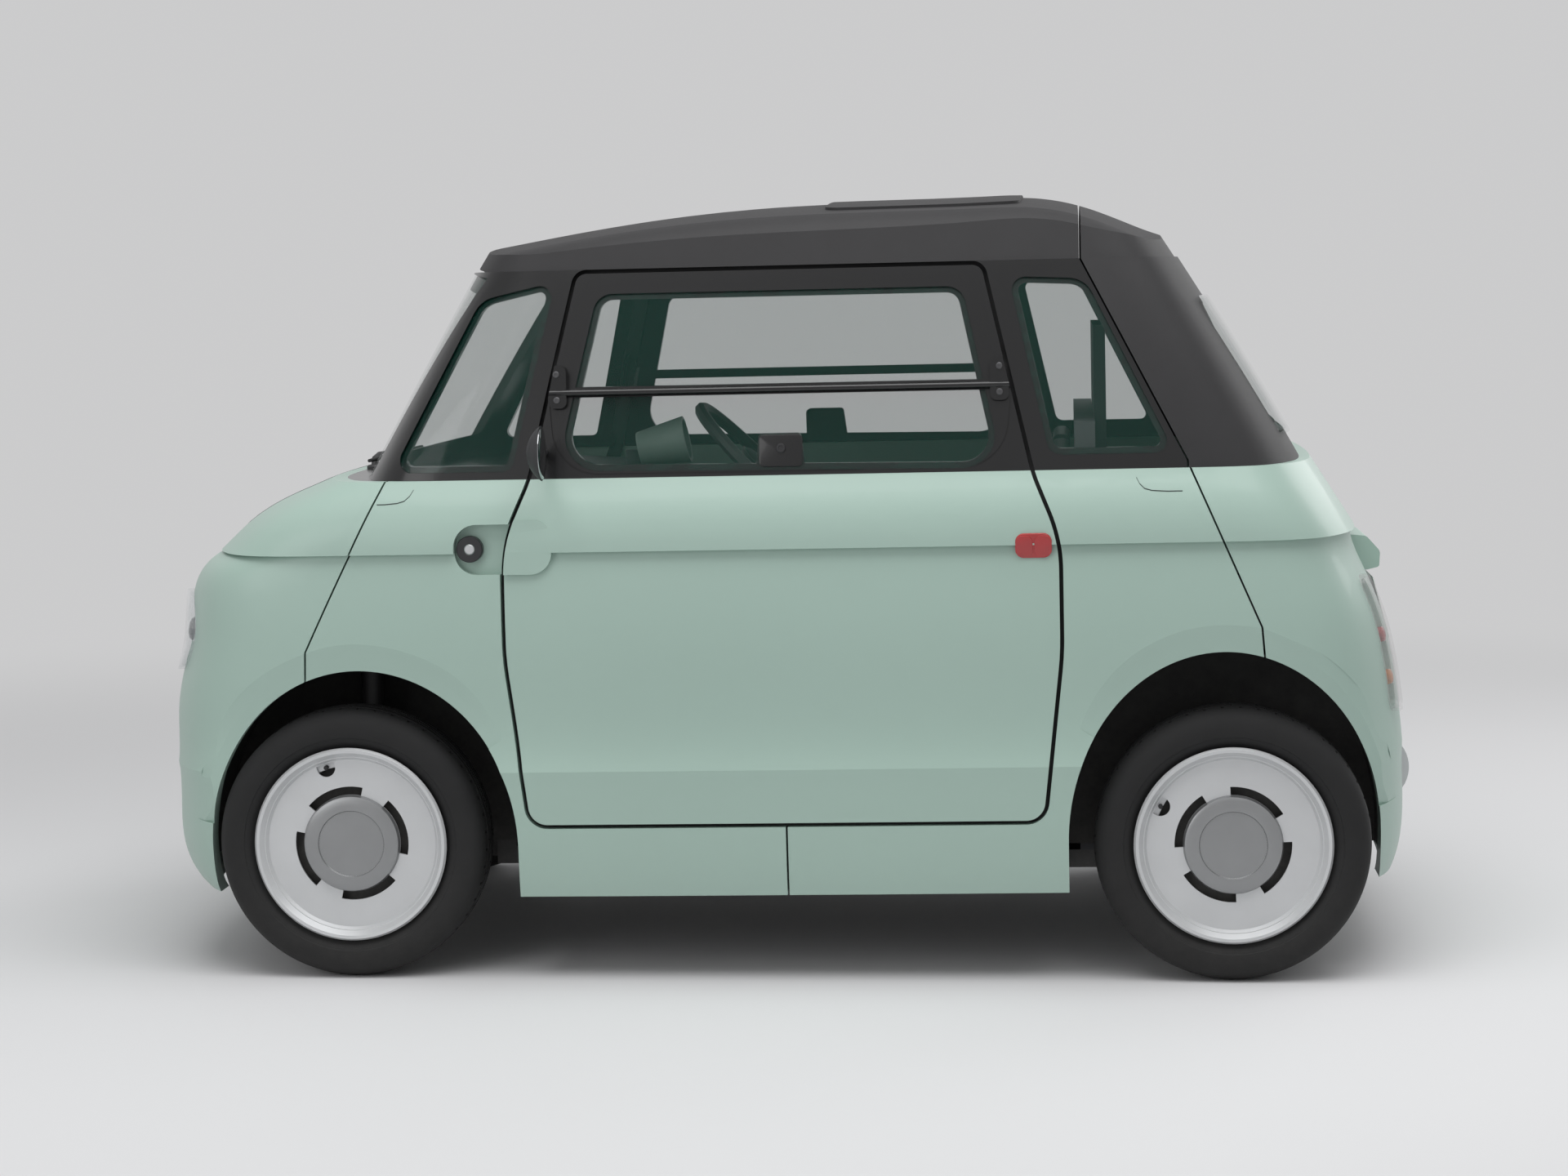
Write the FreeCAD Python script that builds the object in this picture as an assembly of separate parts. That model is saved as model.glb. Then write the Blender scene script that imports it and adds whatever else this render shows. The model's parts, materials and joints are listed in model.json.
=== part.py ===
import FreeCAD, Part
import math
import os

from FreeCAD import Vector as V

# Light electric microcar, two seats, in millimetres.
# X runs from nose to tail, Y to the car's right hand, Z up from the ground.
# The middle of the overall length stands at X = 0.
# The body is drawn level and raked when it is kept; wheels and hubs stand upright.

# running gear
WHEELBASE = 1728.0
FRONT_AXLE_X = -836.5
REAR_AXLE_X = FRONT_AXLE_X + WHEELBASE
AXLE_Z = 268.0
WHEEL_Y = 591.0
KINGPIN_Y = 551.0
KINGPIN_R = 11.0
TYRE_R = 268.0
TYRE_W = 154.0
RIM_R = 172.0
RIM_WALL = 8.0
COVER_R = 192.0
DISC_R = 167.0
SLOT_R = 113.0
CAP_R = 96.0
CAP_FACE_R = 64.0
HUB_R = 48.0
STUB_R = 17.0
STUB_END = 626.0
BEARING_GAP = 0.05
RAKE = 0.596

# heights of the body lines
SILL_Z = 171.0
RIDGE_Z = 420.0
LIP_Z = 850.0
BELT_Z = 990.0
GUTTER_Z = 1390.0
FRAME_TOP_Z = GUTTER_Z + 4.0

# wall thicknesses and gaps
PANEL_T = 26.0
FRAME_T = 24.0
GLASS_T = 5.0
REBATE = 8.0
ROOF_T = 26.0
DOOR_T = 46.0
DOOR_SKIN = 10.0
DOOR_GAP = 8.0
DOOR_STEP = 18.0
DOOR_MID_X = 30.0
SEAM = 4.0
SPARE = 10.0
FLARE_W = 54.0
FLARE_DEPTH = 9.0
POCKET_FLOOR_Y = 668.0
POCKET_BACK_T = 14.0
BUTTON_R = 25.0
BUTTON_T = 17.0
BUBBLE = 12.0
LENS_T = 5.0
TOW_Y = -330.0
TOW_Z = 292.0
TOW_R = 8.0

# plan outline of the body at each height:
# height, nose x, tail x, half width, corner length at nose, corner length at tail
LOWER = [
    (SILL_Z, -1196.0, 1232.0, 668.0, 300.0, 300.0),
    (243.0, -1249.0, 1256.0, 680.0, 320.0, 310.0),
    (310.0, -1256.0, 1259.0, 684.0, 325.0, 310.0),
    (RIDGE_Z, -1257.0, 1259.0, 692.0, 330.0, 315.0),
]
MIDDLE = [
    (RIDGE_Z, -1257.0, 1259.0, 692.0, 330.0, 315.0),
    (490.0, -1256.0, 1253.0, 681.0, 330.0, 310.0),
    (560.0, -1250.0, 1244.0, 684.0, 330.0, 305.0),
    (650.0, -1226.0, 1226.0, 692.0, 320.0, 300.0),
    (730.0, -1214.0, 1199.0, 694.0, 310.0, 290.0),
    (785.0, -1203.0, 1174.0, 692.0, 300.0, 280.0),
    (LIP_Z, -1136.0, 1158.0, 686.0, 280.0, 280.0),
]
UPPER = [
    (LIP_Z, -1146.0, 1166.0, 700.0, 290.0, 290.0),
    (885.0, -1108.0, 1144.0, 698.0, 280.0, 280.0),
    (930.0, -1046.0, 1116.0, 687.0, 250.0, 270.0),
    (965.0, -972.0, 1094.0, 671.0, 210.0, 260.0),
    (BELT_Z, -884.0, 1072.0, 655.0, 170.0, 250.0),
]
GLASSHOUSE = [
    (BELT_Z, -846.0, 1062.0, 653.0, 200.0, 230.0),
    (1160.0, -748.0, 960.0, 622.0, 190.0, 200.0),
    (FRAME_TOP_Z, -612.0, 812.0, 565.0, 180.0, 170.0),
]
# roof line seen from the side: x, height near the edge, half width at the gutter
ROOF = [
    (-640.0, 1409.0, 566.0),
    (-380.0, 1452.0, 566.0),
    (20.0, 1490.0, 566.0),
    (420.0, 1496.0, 566.0),
    (615.0, 1478.0, 566.0),
    (740.0, 1429.0, 566.0),
    (850.0, 1346.0, 566.0),
]
ROOF_PLAN = [
    (FRAME_TOP_Z, -612.0, 812.0, 565.0, 180.0, 170.0),
    (1545.0, -520.0, 716.0, 527.0, 170.0, 170.0),
]
ROOF_CROWN = 28.0
ROOF_SHOULDER = 66.0
ROOF_PLATE = 5.0

# side view corners and their radii
DOOR_SIDE = [(-371, 1394), (-464, 985), (-515, 860), (-515, 640), (-477, 307)]
DOOR_RADII = [30, 260, 300, 600, 45]
WINDOW = [(-316, 1334), (-390, 1016), (448, 1008), (378, 1334)]
WINDOW_RADII = [26, 56, 52, 26]
FLAP = [(-419, 1154), (-404, 997), (466, 997), (481, 1154)]
FLAP_RADII = [2, 92, 92, 2]
BAR_Z = (1146, 1166)
FRONT_QUARTER = [(-424, 1356), (-503, 1017), (-716, 1017), (-552, 1328)]
FRONT_QUARTER_RADII = [12, 14, 14, 46]
REAR_QUARTER = [(492, 1350), (562, 1031), (772, 1031), (617, 1344)]
REAR_QUARTER_RADII = [14, 18, 12, 40]
FRONT_SPLIT = [(-534, 1404), (-746, 984), (-790, 894), (-906, 660), (-914, 560)]
REAR_SPLIT = [(624, 1404), (821, 989), (952, 684), (963, 560)]
POCKET = [(-440, 906), (-604, 906), (-604, 808), (-440, 808)]
POCKET_RADII = [2, 44, 44, 2]
BUTTON = (-574, 858)
PAD = [(-540, 915), (-412, 915), (-412, 808), (-540, 808)]
PAD_RADII = [2, 36, 42, 2]
LATCH_PLATE = [(-15, 1004), (80, 1004), (72, 1070), (-10, 1070)]

# wheel openings: x of the middle, half width, height over the axle, inner wall
FRONT_WELL = (FRONT_AXLE_X + 30.0, 310.0, 354.0, 330.0)
REAR_WELL = (REAR_AXLE_X - 11.0, 303.0, 369.0, 430.0)
# the front wheel house is longer than its opening, for the steered tyre
FRONT_HOUSE = (FRONT_AXLE_X + 12.0, 328.0, 366.0, 330.0)
ARCHES = (FRONT_WELL, REAR_WELL)
HOUSES = (FRONT_HOUSE, REAR_WELL)
LINER_T = 5.0


def spline(points):
    """Smooth curve through points, with evenly numbered knots."""
    curve = Part.BSplineCurve()
    curve.interpolate(Points=points, Parameters=[float(i) for i in range(len(points))])
    return curve.toShape()


def corner(x_end, length, half, turn):
    """Points of a rounded nose or tail, from the left flank to the right."""
    points = []
    power = 3.2
    for step in range(-4, 5):
        angle = step / 4.0 * math.pi / 2
        y = half * math.copysign(abs(math.sin(angle)) ** (2 / power), angle)
        reach = length * abs(math.cos(angle)) ** (2 / power)
        points.append((x_end - turn * (length - reach), y))
    return points


def bow(xa, xb, y_end, y_mid, z):
    """Flank of the body at one height, bowed out in the middle."""
    points = []
    for i in range(5):
        share = i / 4.0
        y = y_end + (y_mid - y_end) * 4 * share * (1 - share)
        points.append(V(xa + (xb - xa) * share, y, z))
    return spline(points)


def plan_wire(z, nose, tail, half, nose_len, tail_len, inset):
    """Closed plan outline of the body at one height, moved in by inset."""
    taper = 9.0
    w = half - inset
    front = corner(nose + inset, nose_len, w - taper, -1)
    rear = corner(tail - inset, tail_len, w - taper, 1)
    front_edge = spline([V(x, y, z) for x, y in front])
    rear_edge = spline([V(x, y, z) for x, y in rear])
    xa = front[0][0]
    xb = rear[0][0]
    left = bow(xa, xb, front[0][1], -w, z)
    right = bow(xa, xb, front[-1][1], w, z)
    return Part.Wire([left, rear_edge, right, front_edge])


def band(rows, inset, low=0.0, high=0.0):
    """Solid through the plan outlines of a band of the body."""
    wires = []
    last = len(rows) - 1
    for i, row in enumerate(rows):
        z = row[0]
        if i == 0:
            z -= low
        if i == last:
            z += high
        wires.append(plan_wire(z, row[1], row[2], row[3], row[4], row[5], inset))
    return Part.makeLoft(wires, True, False)


FORMS = {}
BANDS = {"lower": LOWER, "middle": MIDDLE, "upper": UPPER, "glass": GLASSHOUSE}
TUB = ("lower", "middle", "upper")
GLASS = ("glass",)


def form(name, inset):
    """One band of the outer form, moved in by inset, its free ends made longer."""
    key = (name, inset)
    if key not in FORMS:
        low = 0.0 if name in ("middle", "upper") else SPARE
        high = 0.0 if name in ("lower", "middle") else SPARE
        FORMS[key] = band(BANDS[name], inset, low, high)
    return FORMS[key]


def wall(zone, outer, inner, names=TUB):
    """Wall between two insets of the outer form, inside a zone."""
    if names == TUB:
        zone = zone.common(box(-1400, 1400, -800, 800, SILL_Z, BELT_Z))
    else:
        zone = zone.common(box(-1400, 1400, -800, 800, BELT_Z, FRAME_TOP_Z))
    pieces = []
    for name in names:
        piece = form(name, outer).common(zone)
        if piece.Volume > 1.0:
            pieces.append(piece.cut(form(name, inner)))
    return merge(pieces)


def filling(shape, inset, names=TUB):
    """Part of a shape that lies inside the body's inner wall."""
    pieces = []
    for name in names:
        piece = shape.common(form(name, inset))
        if piece.Volume > 1.0:
            pieces.append(piece)
    return merge(pieces)


def outside(shape, inset, names=TUB):
    """Part of a shape that lies outside the body's form."""
    for name in names:
        shape = shape.cut(form(name, inset))
    return shape


def roof_wire(x, z_edge, half, inset):
    """Cross section of the roof: flat floor, rounded rail, crowned top."""
    w = half - inset
    z0 = GUTTER_Z - inset * 2
    zs = max(z_edge - inset, z0 + 12.0)
    rise = zs - z0
    shoulder = w - ROOF_SHOULDER
    rail = [(w, z0), (w - 6, z0 + rise * 0.42), (w - 24, z0 + rise * 0.76), (shoulder, zs)]
    crown = []
    for i in range(-4, 5):
        y = shoulder * i / 4.0
        crown.append(V(x, y, zs + ROOF_CROWN * (1 - (i / 4.0) ** 2)))
    left = spline([V(x, -y, z) for y, z in rail])
    right = spline([V(x, y, z) for y, z in rail[::-1]])
    floor = Part.makeLine(V(x, w, z0), V(x, -w, z0))
    return Part.Wire([left, spline(crown), right, floor])


def roof_form(inset):
    wires = [roof_wire(x, z, w, inset) for x, z, w in ROOF]
    return Part.makeLoft(wires, True, False)


def outline(points, radii):
    """Closed side view outline with every corner rounded."""
    count = len(points)
    if not isinstance(radii, list):
        radii = [radii] * count
    arcs = []
    starts = []
    ends = []
    for i in range(count):
        p = V(points[i][0], 0, points[i][1])
        a = V(points[i - 1][0], 0, points[i - 1][1])
        b = V(points[(i + 1) % count][0], 0, points[(i + 1) % count][1])
        u = (a - p).normalize()
        w = (b - p).normalize()
        half = u.getAngle(w) / 2
        reach = radii[i] / math.tan(half)
        middle = (u + w).normalize() * (radii[i] / math.sin(half) - radii[i])
        starts.append(p + u * reach)
        ends.append(p + w * reach)
        arcs.append(Part.Arc(p + u * reach, p + middle, p + w * reach).toShape())
    edges = []
    for i in range(count):
        edges.append(arcs[i])
        edges.append(Part.makeLine(ends[i], starts[(i + 1) % count]))
    return Part.Wire(edges)


def pushed(wire, y0, y1):
    """Side view outline pushed across the car from y0 to y1."""
    face = Part.Face(wire)
    face.translate(V(0, y0, 0))
    return face.extrude(V(0, y1 - y0, 0))


def prism(points, y0=-800.0, y1=800.0):
    """Sharp side view outline pushed across the car."""
    return pushed(Part.makePolygon([V(x, 0, z) for x, z in points + points[:1]]), y0, y1)


def bar_along(points, x0, x1):
    """Cross section in y and z pushed along the car from x0 to x1."""
    wire = Part.makePolygon([V(x0, y, z) for y, z in points + points[:1]])
    return Part.Face(wire).extrude(V(x1 - x0, 0, 0))


def flipped(points):
    """Side view points of the other door, which is the same moulding turned round."""
    return [(2 * DOOR_MID_X - x, z) for x, z in points]


def box(x0, x1, y0, y1, z0, z1):
    return Part.makeBox(x1 - x0, y1 - y0, z1 - z0, V(x0, y0, z0))


def rod(x, y, z, radius, length, axis):
    return Part.makeCylinder(radius, length, V(x, y, z), axis)


def mirror_y(shape):
    return shape.mirror(V(0, 0, 0), V(0, 1, 0))


def merge(shapes):
    result = shapes[0]
    for other in shapes[1:]:
        result = result.fuse(other)
    return result


def half_of(side):
    """The y limits of one half of the car."""
    return min(0, side * 800), max(0, side * 800)


def rake(shape):
    """Lower the nose and lift the tail, as the empty car stands."""
    turned = shape.copy()
    turned.rotate(V(0, 0, 0), V(0, 1, 0), -RAKE)
    return turned


NODES = {}


def save(name, shapes, raked=True):
    """Keep a node's solids, raked with the body unless told otherwise."""
    if not isinstance(shapes, (list, tuple)):
        shapes = [shapes]
    solids = []
    for shape in shapes:
        solids.extend(shape.Solids)
    solids = [s for s in solids if s.Volume > 500.0]
    if len(solids) == 1:
        out = solids[0]
    else:
        out = Part.makeCompound(solids)
    if raked:
        out = rake(out)
    NODES[name] = out


def carve(name, *others):
    """Take the room of other nodes out of one node."""
    shape = NODES[name]
    for other in others:
        shape = shape.cut(NODES[other])
    NODES[name] = shape


def write_nodes():
    for name in sorted(NODES):
        solids = [s for s in NODES[name].Solids if s.Volume > 500.0]
        out = solids[0]
        if len(solids) > 1:
            out = Part.makeCompound(solids)
        out.exportStep(os.path.join("parts", name + ".step"))


def door_wire(gap=0.0):
    """Outline of the door opening, moved in by gap."""
    points = DOOR_SIDE + flipped(DOOR_SIDE)[::-1]
    wire = outline(points, DOOR_RADII + DOOR_RADII[::-1])
    if gap:
        wire = wire.makeOffset2D(-gap)
    return wire


def well(place, side, grow=0.0, floor=60.0):
    """Wheel opening: half an oval over straight sides, out from its inner wall."""
    x, reach, height, inner = place
    reach += grow
    height += grow
    y0 = side * (inner - grow)
    top = V(x, y0, AXLE_Z + height)
    oval = Part.Ellipse(top, V(x + reach, y0, AXLE_Z), V(x, y0, AXLE_Z))
    low_a = V(x - reach, y0, floor)
    low_b = V(x + reach, y0, floor)
    top_a = V(x - reach, y0, AXLE_Z)
    top_b = V(x + reach, y0, AXLE_Z)
    edges = [Part.makeLine(low_a, top_a), Part.makeLine(top_b, low_b), Part.makeLine(low_b, low_a)]
    for end in (top_a, top_b):
        span = sorted((oval.parameter(end), oval.parameter(top)))
        if span[1] - span[0] > math.pi:
            span = (span[1], span[0] + 2 * math.pi)
        edges.append(oval.toShape(span[0], span[1]))
    face = Part.Face(Part.Wire(Part.__sortEdges__(edges)))
    return face.extrude(V(0, side * (820.0 - inner), 0))


def wheel_room(shape, places=ARCHES, grow=0.0):
    """Cut the wheel openings, open downwards, out of a shape."""
    for place in places:
        for side in (-1, 1):
            shape = shape.cut(well(place, side, grow))
    return shape


def flank(x, z):
    """Half width of the outer form at a point of the side view."""
    name = "middle" if z > RIDGE_Z else "lower"
    ray = Part.makeLine(V(x, 60, z), V(x, 800, z)).common(form(name, 0))
    return max(v.Y for v in ray.Vertexes)


def flare_section(place, angle, width, depth):
    """Cross section of the bevel round a wheel opening, at one angle."""
    x, reach, height, _ = place
    c = math.cos(math.radians(angle))
    s = math.sin(math.radians(angle))
    points = []
    for grow, share in ((-width * 0.3, 1.3), (width * 0.5, 0.5), (width, 0.0)):
        px = x + (reach + grow) * c
        pz = AXLE_Z + (height + grow) * s
        on_body = max(grow, 1.0)
        y = flank(x + (reach + on_body) * c, AXLE_Z + (height + on_body) * s)
        points.append(V(px, y - depth * share + 0.2, pz))
    points.append(V(points[2].x, 780, points[2].z))
    points.append(V(points[0].x, 780, points[0].z))
    return Part.makePolygon(points + points[:1])


def flare(place, turn):
    """Cutter for the bevel round a right wheel opening, fading towards the door."""
    wires = []
    for angle, share in ((34, 0.3), (48, 0.75), (66, 1), (84, 1), (102, 1), (120, 1), (138, 0.95),
                         (156, 0.7), (172, 0.5)):
        place_angle = angle if turn > 0 else 180 - angle
        wires.append(flare_section(place, place_angle, FLARE_W * (0.5 + share / 2), FLARE_DEPTH * share))
    return Part.makeLoft(wires, True, False)


def latch_pocket(side):
    """Backing plate, recess and round button of the door latch, beside the door."""
    points = POCKET if side < 0 else flipped(POCKET)
    x, z = BUTTON if side < 0 else flipped([BUTTON])[0]
    wire = outline(points, POCKET_RADII)
    y = side * POCKET_FLOOR_Y
    backing = pushed(wire.makeOffset2D(6.0), y - side * POCKET_BACK_T, y + side * 10.0)
    button = rod(x, y, z, BUTTON_R, BUTTON_T, V(0, side, 0))
    dish = rod(x, y + side * (BUTTON_T - 2), z, BUTTON_R * 0.4, 5, V(0, side, 0))
    return backing, pushed(wire, y, side * 800), button.cut(dish)


def body_panels():
    g = SEAM / 2
    door = pushed(door_wire(), -800, 800)
    low_front = FRONT_SPLIT[-1][0]
    low_rear = REAR_SPLIT[-1][0]
    nose = [(x - g, z) for x, z in FRONT_SPLIT] + [(low_front - g, 100), (-1400, 100), (-1400, 1400)]
    tail = [(x + g, z) for x, z in REAR_SPLIT] + [(low_rear + g, 100), (1400, 100), (1400, 1400)]
    front = [(x + g, z) for x, z in FRONT_SPLIT] + [(low_front + g, 100), (DOOR_MID_X, 100), (DOOR_MID_X, 1400)]
    rear = [(x - g, z) for x, z in REAR_SPLIT] + [(low_rear - g, 100), (DOOR_MID_X + SEAM, 100),
                                                  (DOOR_MID_X + SEAM, 1400)]
    ahead_cut = flare(FRONT_WELL, 1)
    behind_cut = flare(REAR_WELL, -1)
    nose = wheel_room(wall(prism(nose), 0, PANEL_T)).cut(ahead_cut).cut(mirror_y(ahead_cut))
    tail = wheel_room(wall(prism(tail), 0, PANEL_T)).cut(behind_cut).cut(mirror_y(behind_cut))
    for side, name in ((-1, "left"), (1, "right")):
        y0, y1 = half_of(side)
        backing, pocket, button = latch_pocket(side)
        ahead = wheel_room(wall(prism(front, y0, y1).cut(door), 0, PANEL_T))
        behind = wheel_room(wall(prism(rear, y0, y1).cut(door), 0, PANEL_T))
        if side < 0:
            ahead = ahead.fuse(backing.cut(door)).cut(pocket).fuse(button)
            ahead_cut = mirror_y(ahead_cut)
            behind_cut = mirror_y(behind_cut)
        else:
            behind = behind.fuse(backing.cut(door)).cut(pocket).fuse(button)
            ahead_cut = mirror_y(ahead_cut)
            behind_cut = mirror_y(behind_cut)
        save("front_side_panel_" + name, ahead.cut(ahead_cut))
        save("rear_side_panel_" + name, behind.cut(behind_cut))
    return nose, tail


def visor():
    """Hood over the rear plate and its lamp."""
    side_view = outline([(1140, 818), (1198, 812), (1226, 780), (1224, 748), (1200, 742), (1140, 742)],
                        [4, 14, 14, 6, 8, 4])
    return pushed(side_view, -120, 120)


def tail_lamp_zone(side, grow):
    """Tail lamp outline in the rear view, pushed along the car."""
    centre = 468.0
    half_w = 38.0 + grow
    z0 = 494.0 - grow
    z1 = 764.0 + grow
    block = box(1040, 1400, side * centre - half_w, side * centre + half_w, z0, z1)
    edges = [e for e in block.Edges if abs(e.tangentAt(e.FirstParameter).x) > 0.99]
    return block.makeFillet(26.0 + grow, edges)


def head_lamp_zone(side, grow):
    return rod(-1290, side * 470, 690, 82 + grow, 220, V(1, 0, 0))


def lens(zone, inner_zone):
    """Clear lens standing proud of the body, open towards the lamp behind it."""
    cover = filling(zone, -BUBBLE, ("middle",))
    inside = filling(inner_zone, LENS_T - BUBBLE, ("middle",))
    return outside(cover.cut(inside), 0)


def lamps(nose, tail):
    heads = []
    tails = []
    for side in (-1, 1):
        heads.append(lens(head_lamp_zone(side, 0), head_lamp_zone(side, -LENS_T)))
        tails.append(lens(tail_lamp_zone(side, 0), tail_lamp_zone(side, -LENS_T)))
        nose = nose.cut(outside(head_lamp_zone(side, -LENS_T - 4), 16, ("middle",)))
        tail = tail.cut(outside(tail_lamp_zone(side, -LENS_T - 4), 16, ("middle",)))
    save("headlamps", heads)
    save("tail_lamps", tails)
    return nose, tail


def end_panels(nose, tail):
    """Nose and tail panels with towing eye holes, visor and guards."""
    for x in (-1400, 1100):
        hole = rod(x, TOW_Y, TOW_Z, TOW_R + 14, 300, V(1, 0, 0))
        nose = nose.cut(hole)
        tail = tail.cut(hole)
    save("nose_panel", nose)
    save("tail_panel", tail.fuse(outside(visor(), 4)))
    guards = []
    for side in (-1, 1):
        y = side * 210
        front = Part.Arc(V(-1248, 0, 338), V(-1267.5, 0, 369), V(-1248, 0, 400)).toShape()
        back = Part.makeLine(V(-1248, 0, 400), V(-1220, 0, 400))
        low = Part.makeLine(V(-1220, 0, 338), V(-1248, 0, 338))
        inner = Part.makeLine(V(-1220, 0, 400), V(-1220, 0, 338))
        guards.append(pushed(Part.Wire([front, back, inner, low]), y - 60, y + 60))
        rear = Part.Arc(V(1246, 0, 300), V(1267.5, 0, 352), V(1246, 0, 404)).toShape()
        back = Part.makeLine(V(1246, 0, 404), V(1220, 0, 404))
        low = Part.makeLine(V(1220, 0, 300), V(1246, 0, 300))
        inner = Part.makeLine(V(1220, 0, 404), V(1220, 0, 300))
        guards.append(pushed(Part.Wire([rear, back, inner, low]), y - 60, y + 60))
    save("bumper_guards", [outside(q, 0) for q in guards])


def screen_zone(grow):
    """Side view zone of the windscreen, across the front pillars."""
    points = [(-900, 975 - grow), (-716 + grow, 1004 - grow), (-532 + grow, 1378 + grow), (-640, 1400 + grow)]
    return prism(points, -530 - grow, 530 + grow)


def glazed(frame, skin, pane, points, radii, border):
    """Cut a window with a rebate into a frame, and give the pane that fills it."""
    small = outline(points, radii)
    big = pushed(small.makeOffset2D(border), -800, 800)
    frame = frame.cut(big.common(skin)).cut(pushed(small, -800, 800))
    return frame, pane.common(big).Solids


def glass_parts():
    everywhere = box(-1400, 1400, -800, 800, 900, 1500)
    skin = wall(everywhere, 0, REBATE, GLASS)
    pane = wall(everywhere, REBATE - GLASS_T, REBATE, GLASS)
    frame = wall(everywhere.cut(pushed(door_wire(), -800, 800)), 0, FRAME_T, GLASS)
    frame, fronts = glazed(frame, skin, pane, FRONT_QUARTER, FRONT_QUARTER_RADII, 12.0)
    frame, rears = glazed(frame, skin, pane, REAR_QUARTER, REAR_QUARTER_RADII, 12.0)
    save("quarter_glasses", fronts + rears)
    save("windscreen", pane.common(screen_zone(0)))
    frame = frame.cut(screen_zone(0).common(skin)).cut(screen_zone(-30))
    cut_line = [(618, 1500), (618, 1394), (818, 1004), (818, 960), (1200, 960), (1200, 1500)]
    back = frame.common(prism(cut_line))
    frame = frame.cut(prism([(x - SEAM, z) for x, z in cut_line]))
    back = rear_window(back, skin)
    ledge = box(-900, -600, -700, 700, BELT_Z - 18, BELT_Z)
    cowl = filling(ledge, PANEL_T).cut(form("glass", FRAME_T))
    save("cabin_frame", frame.fuse(cowl))
    return back


def rear_window(back, skin):
    """Domed rear window standing proud of the rear shell."""
    hole = prism([(860, 1300), (960, 1060), (1200, 1060), (1200, 1300)], -430, 430)
    big = prism([(850, 1316), (952, 1044), (1200, 1044), (1200, 1316)], -446, 446)
    mid = prism([(853, 1311), (955, 1049), (1200, 1049), (1200, 1311)], -441, 441)
    cover = big.common(form("glass", -BUBBLE))
    cover = cover.cut(mid.common(form("glass", LENS_T - BUBBLE))).cut(form("glass", REBATE))
    save("rear_window", cover)
    return back.cut(big.common(skin)).cut(hole)


def roof_parts(back):
    outer = roof_form(0)
    inner = roof_form(ROOF_T)
    shell = outer.cut(inner).common(band(ROOF_PLAN, 0))
    front = shell.common(box(-900, 618 - SEAM, -700, 700, FRAME_TOP_Z, 1700))
    rear = shell.common(box(618, 1200, -700, 700, FRAME_TOP_Z, 1700))
    plate = box(112, 500, -430, 430, 1420, 1600)
    plate = plate.makeFillet(40, [e for e in plate.Edges if abs(e.tangentAt(e.FirstParameter).z) > 0.99])
    plate = plate.common(roof_form(-ROOF_PLATE)).cut(roof_form(ROOF_PLATE))
    save("roof_panel", front.fuse(plate))
    save("rear_roof_shell", back.fuse(rear))


def door_parts(side, name):
    y0, y1 = half_of(side)
    outer = pushed(door_wire(DOOR_GAP), y0, y1)
    inner = pushed(door_wire(DOOR_GAP + DOOR_STEP), y0, y1)
    below = box(-900, 900, -900, 900, 100, BELT_Z)
    panel = wall(outer.common(below), 0, DOOR_SKIN).fuse(wall(inner.common(below), DOOR_SKIN, DOOR_T))
    save("door_panel_" + name, panel.fuse(handle_pad(side, outer)))
    skin = wall(outer, 0, REBATE, GLASS)
    rim = skin.fuse(wall(inner, REBATE, FRAME_T, GLASS))
    small = outline(WINDOW, WINDOW_RADII)
    big = pushed(small.makeOffset2D(12.0), y0, y1)
    bar = box(-900, 900, -900, 900, BAR_Z[0], BAR_Z[1])
    rim = rim.cut(big.cut(bar).common(skin)).cut(pushed(small, y0, y1).cut(bar))
    save("door_glass_" + name, wall(big.cut(bar), REBATE - GLASS_T, REBATE, GLASS))
    flap = outline(FLAP, FLAP_RADII)
    groove = pushed(flap.makeOffset2D(1.5), y0, y1).cut(pushed(flap.makeOffset2D(-1.5), y0, y1))
    rim = rim.cut(groove.cut(bar).cut(form("glass", 3.0)))
    plate = wall(pushed(outline(LATCH_PLATE, 8), y0, y1), REBATE, FRAME_T, GLASS)
    save("door_frame_" + name, merge([rim, plate, flap_hinges(side).common(outer)]))
    save("mirror_" + name, mirror(side))


def handle_pad(side, outer):
    """Raised pad on the door's free end, over the latch."""
    points = PAD if side < 0 else flipped(PAD)
    section = [(652, 800), (697.5, 800), (697.5, 852), (691.5, 922), (652, 922)]
    slab = bar_along([(side * y, z) for y, z in section], -700, 700)
    return pushed(outline(points, PAD_RADII), side * 640, side * 760).common(slab).common(outer)


def flap_hinges(side):
    """Two brackets and the bar on which the lower window flap tips."""
    pieces = []
    for x in (-401, 458):
        wire = outline([(x - 18, 1209), (x - 18, 1126), (x + 18, 1126), (x + 18, 1209)], 13)
        pieces.append(pushed(wire, side * 606, side * 634))
    pieces.append(rod(-440, side * 630, 1156, 6, 934, V(1, 0, 0)))
    return merge(pieces)


def mirror(side):
    """Round mirror: a domed back, a flat face and a short arm."""
    ball = Part.makeSphere(64.2, V(-381.8, side * 745, 1045))
    head = ball.common(box(-500, -418, -900, 900, 900, 1200))
    stalk = rod(-430, side * 616, 1042, 8, 90, V(0, side, 0))
    return outside(head.fuse(stalk), 0, GLASS)


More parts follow.
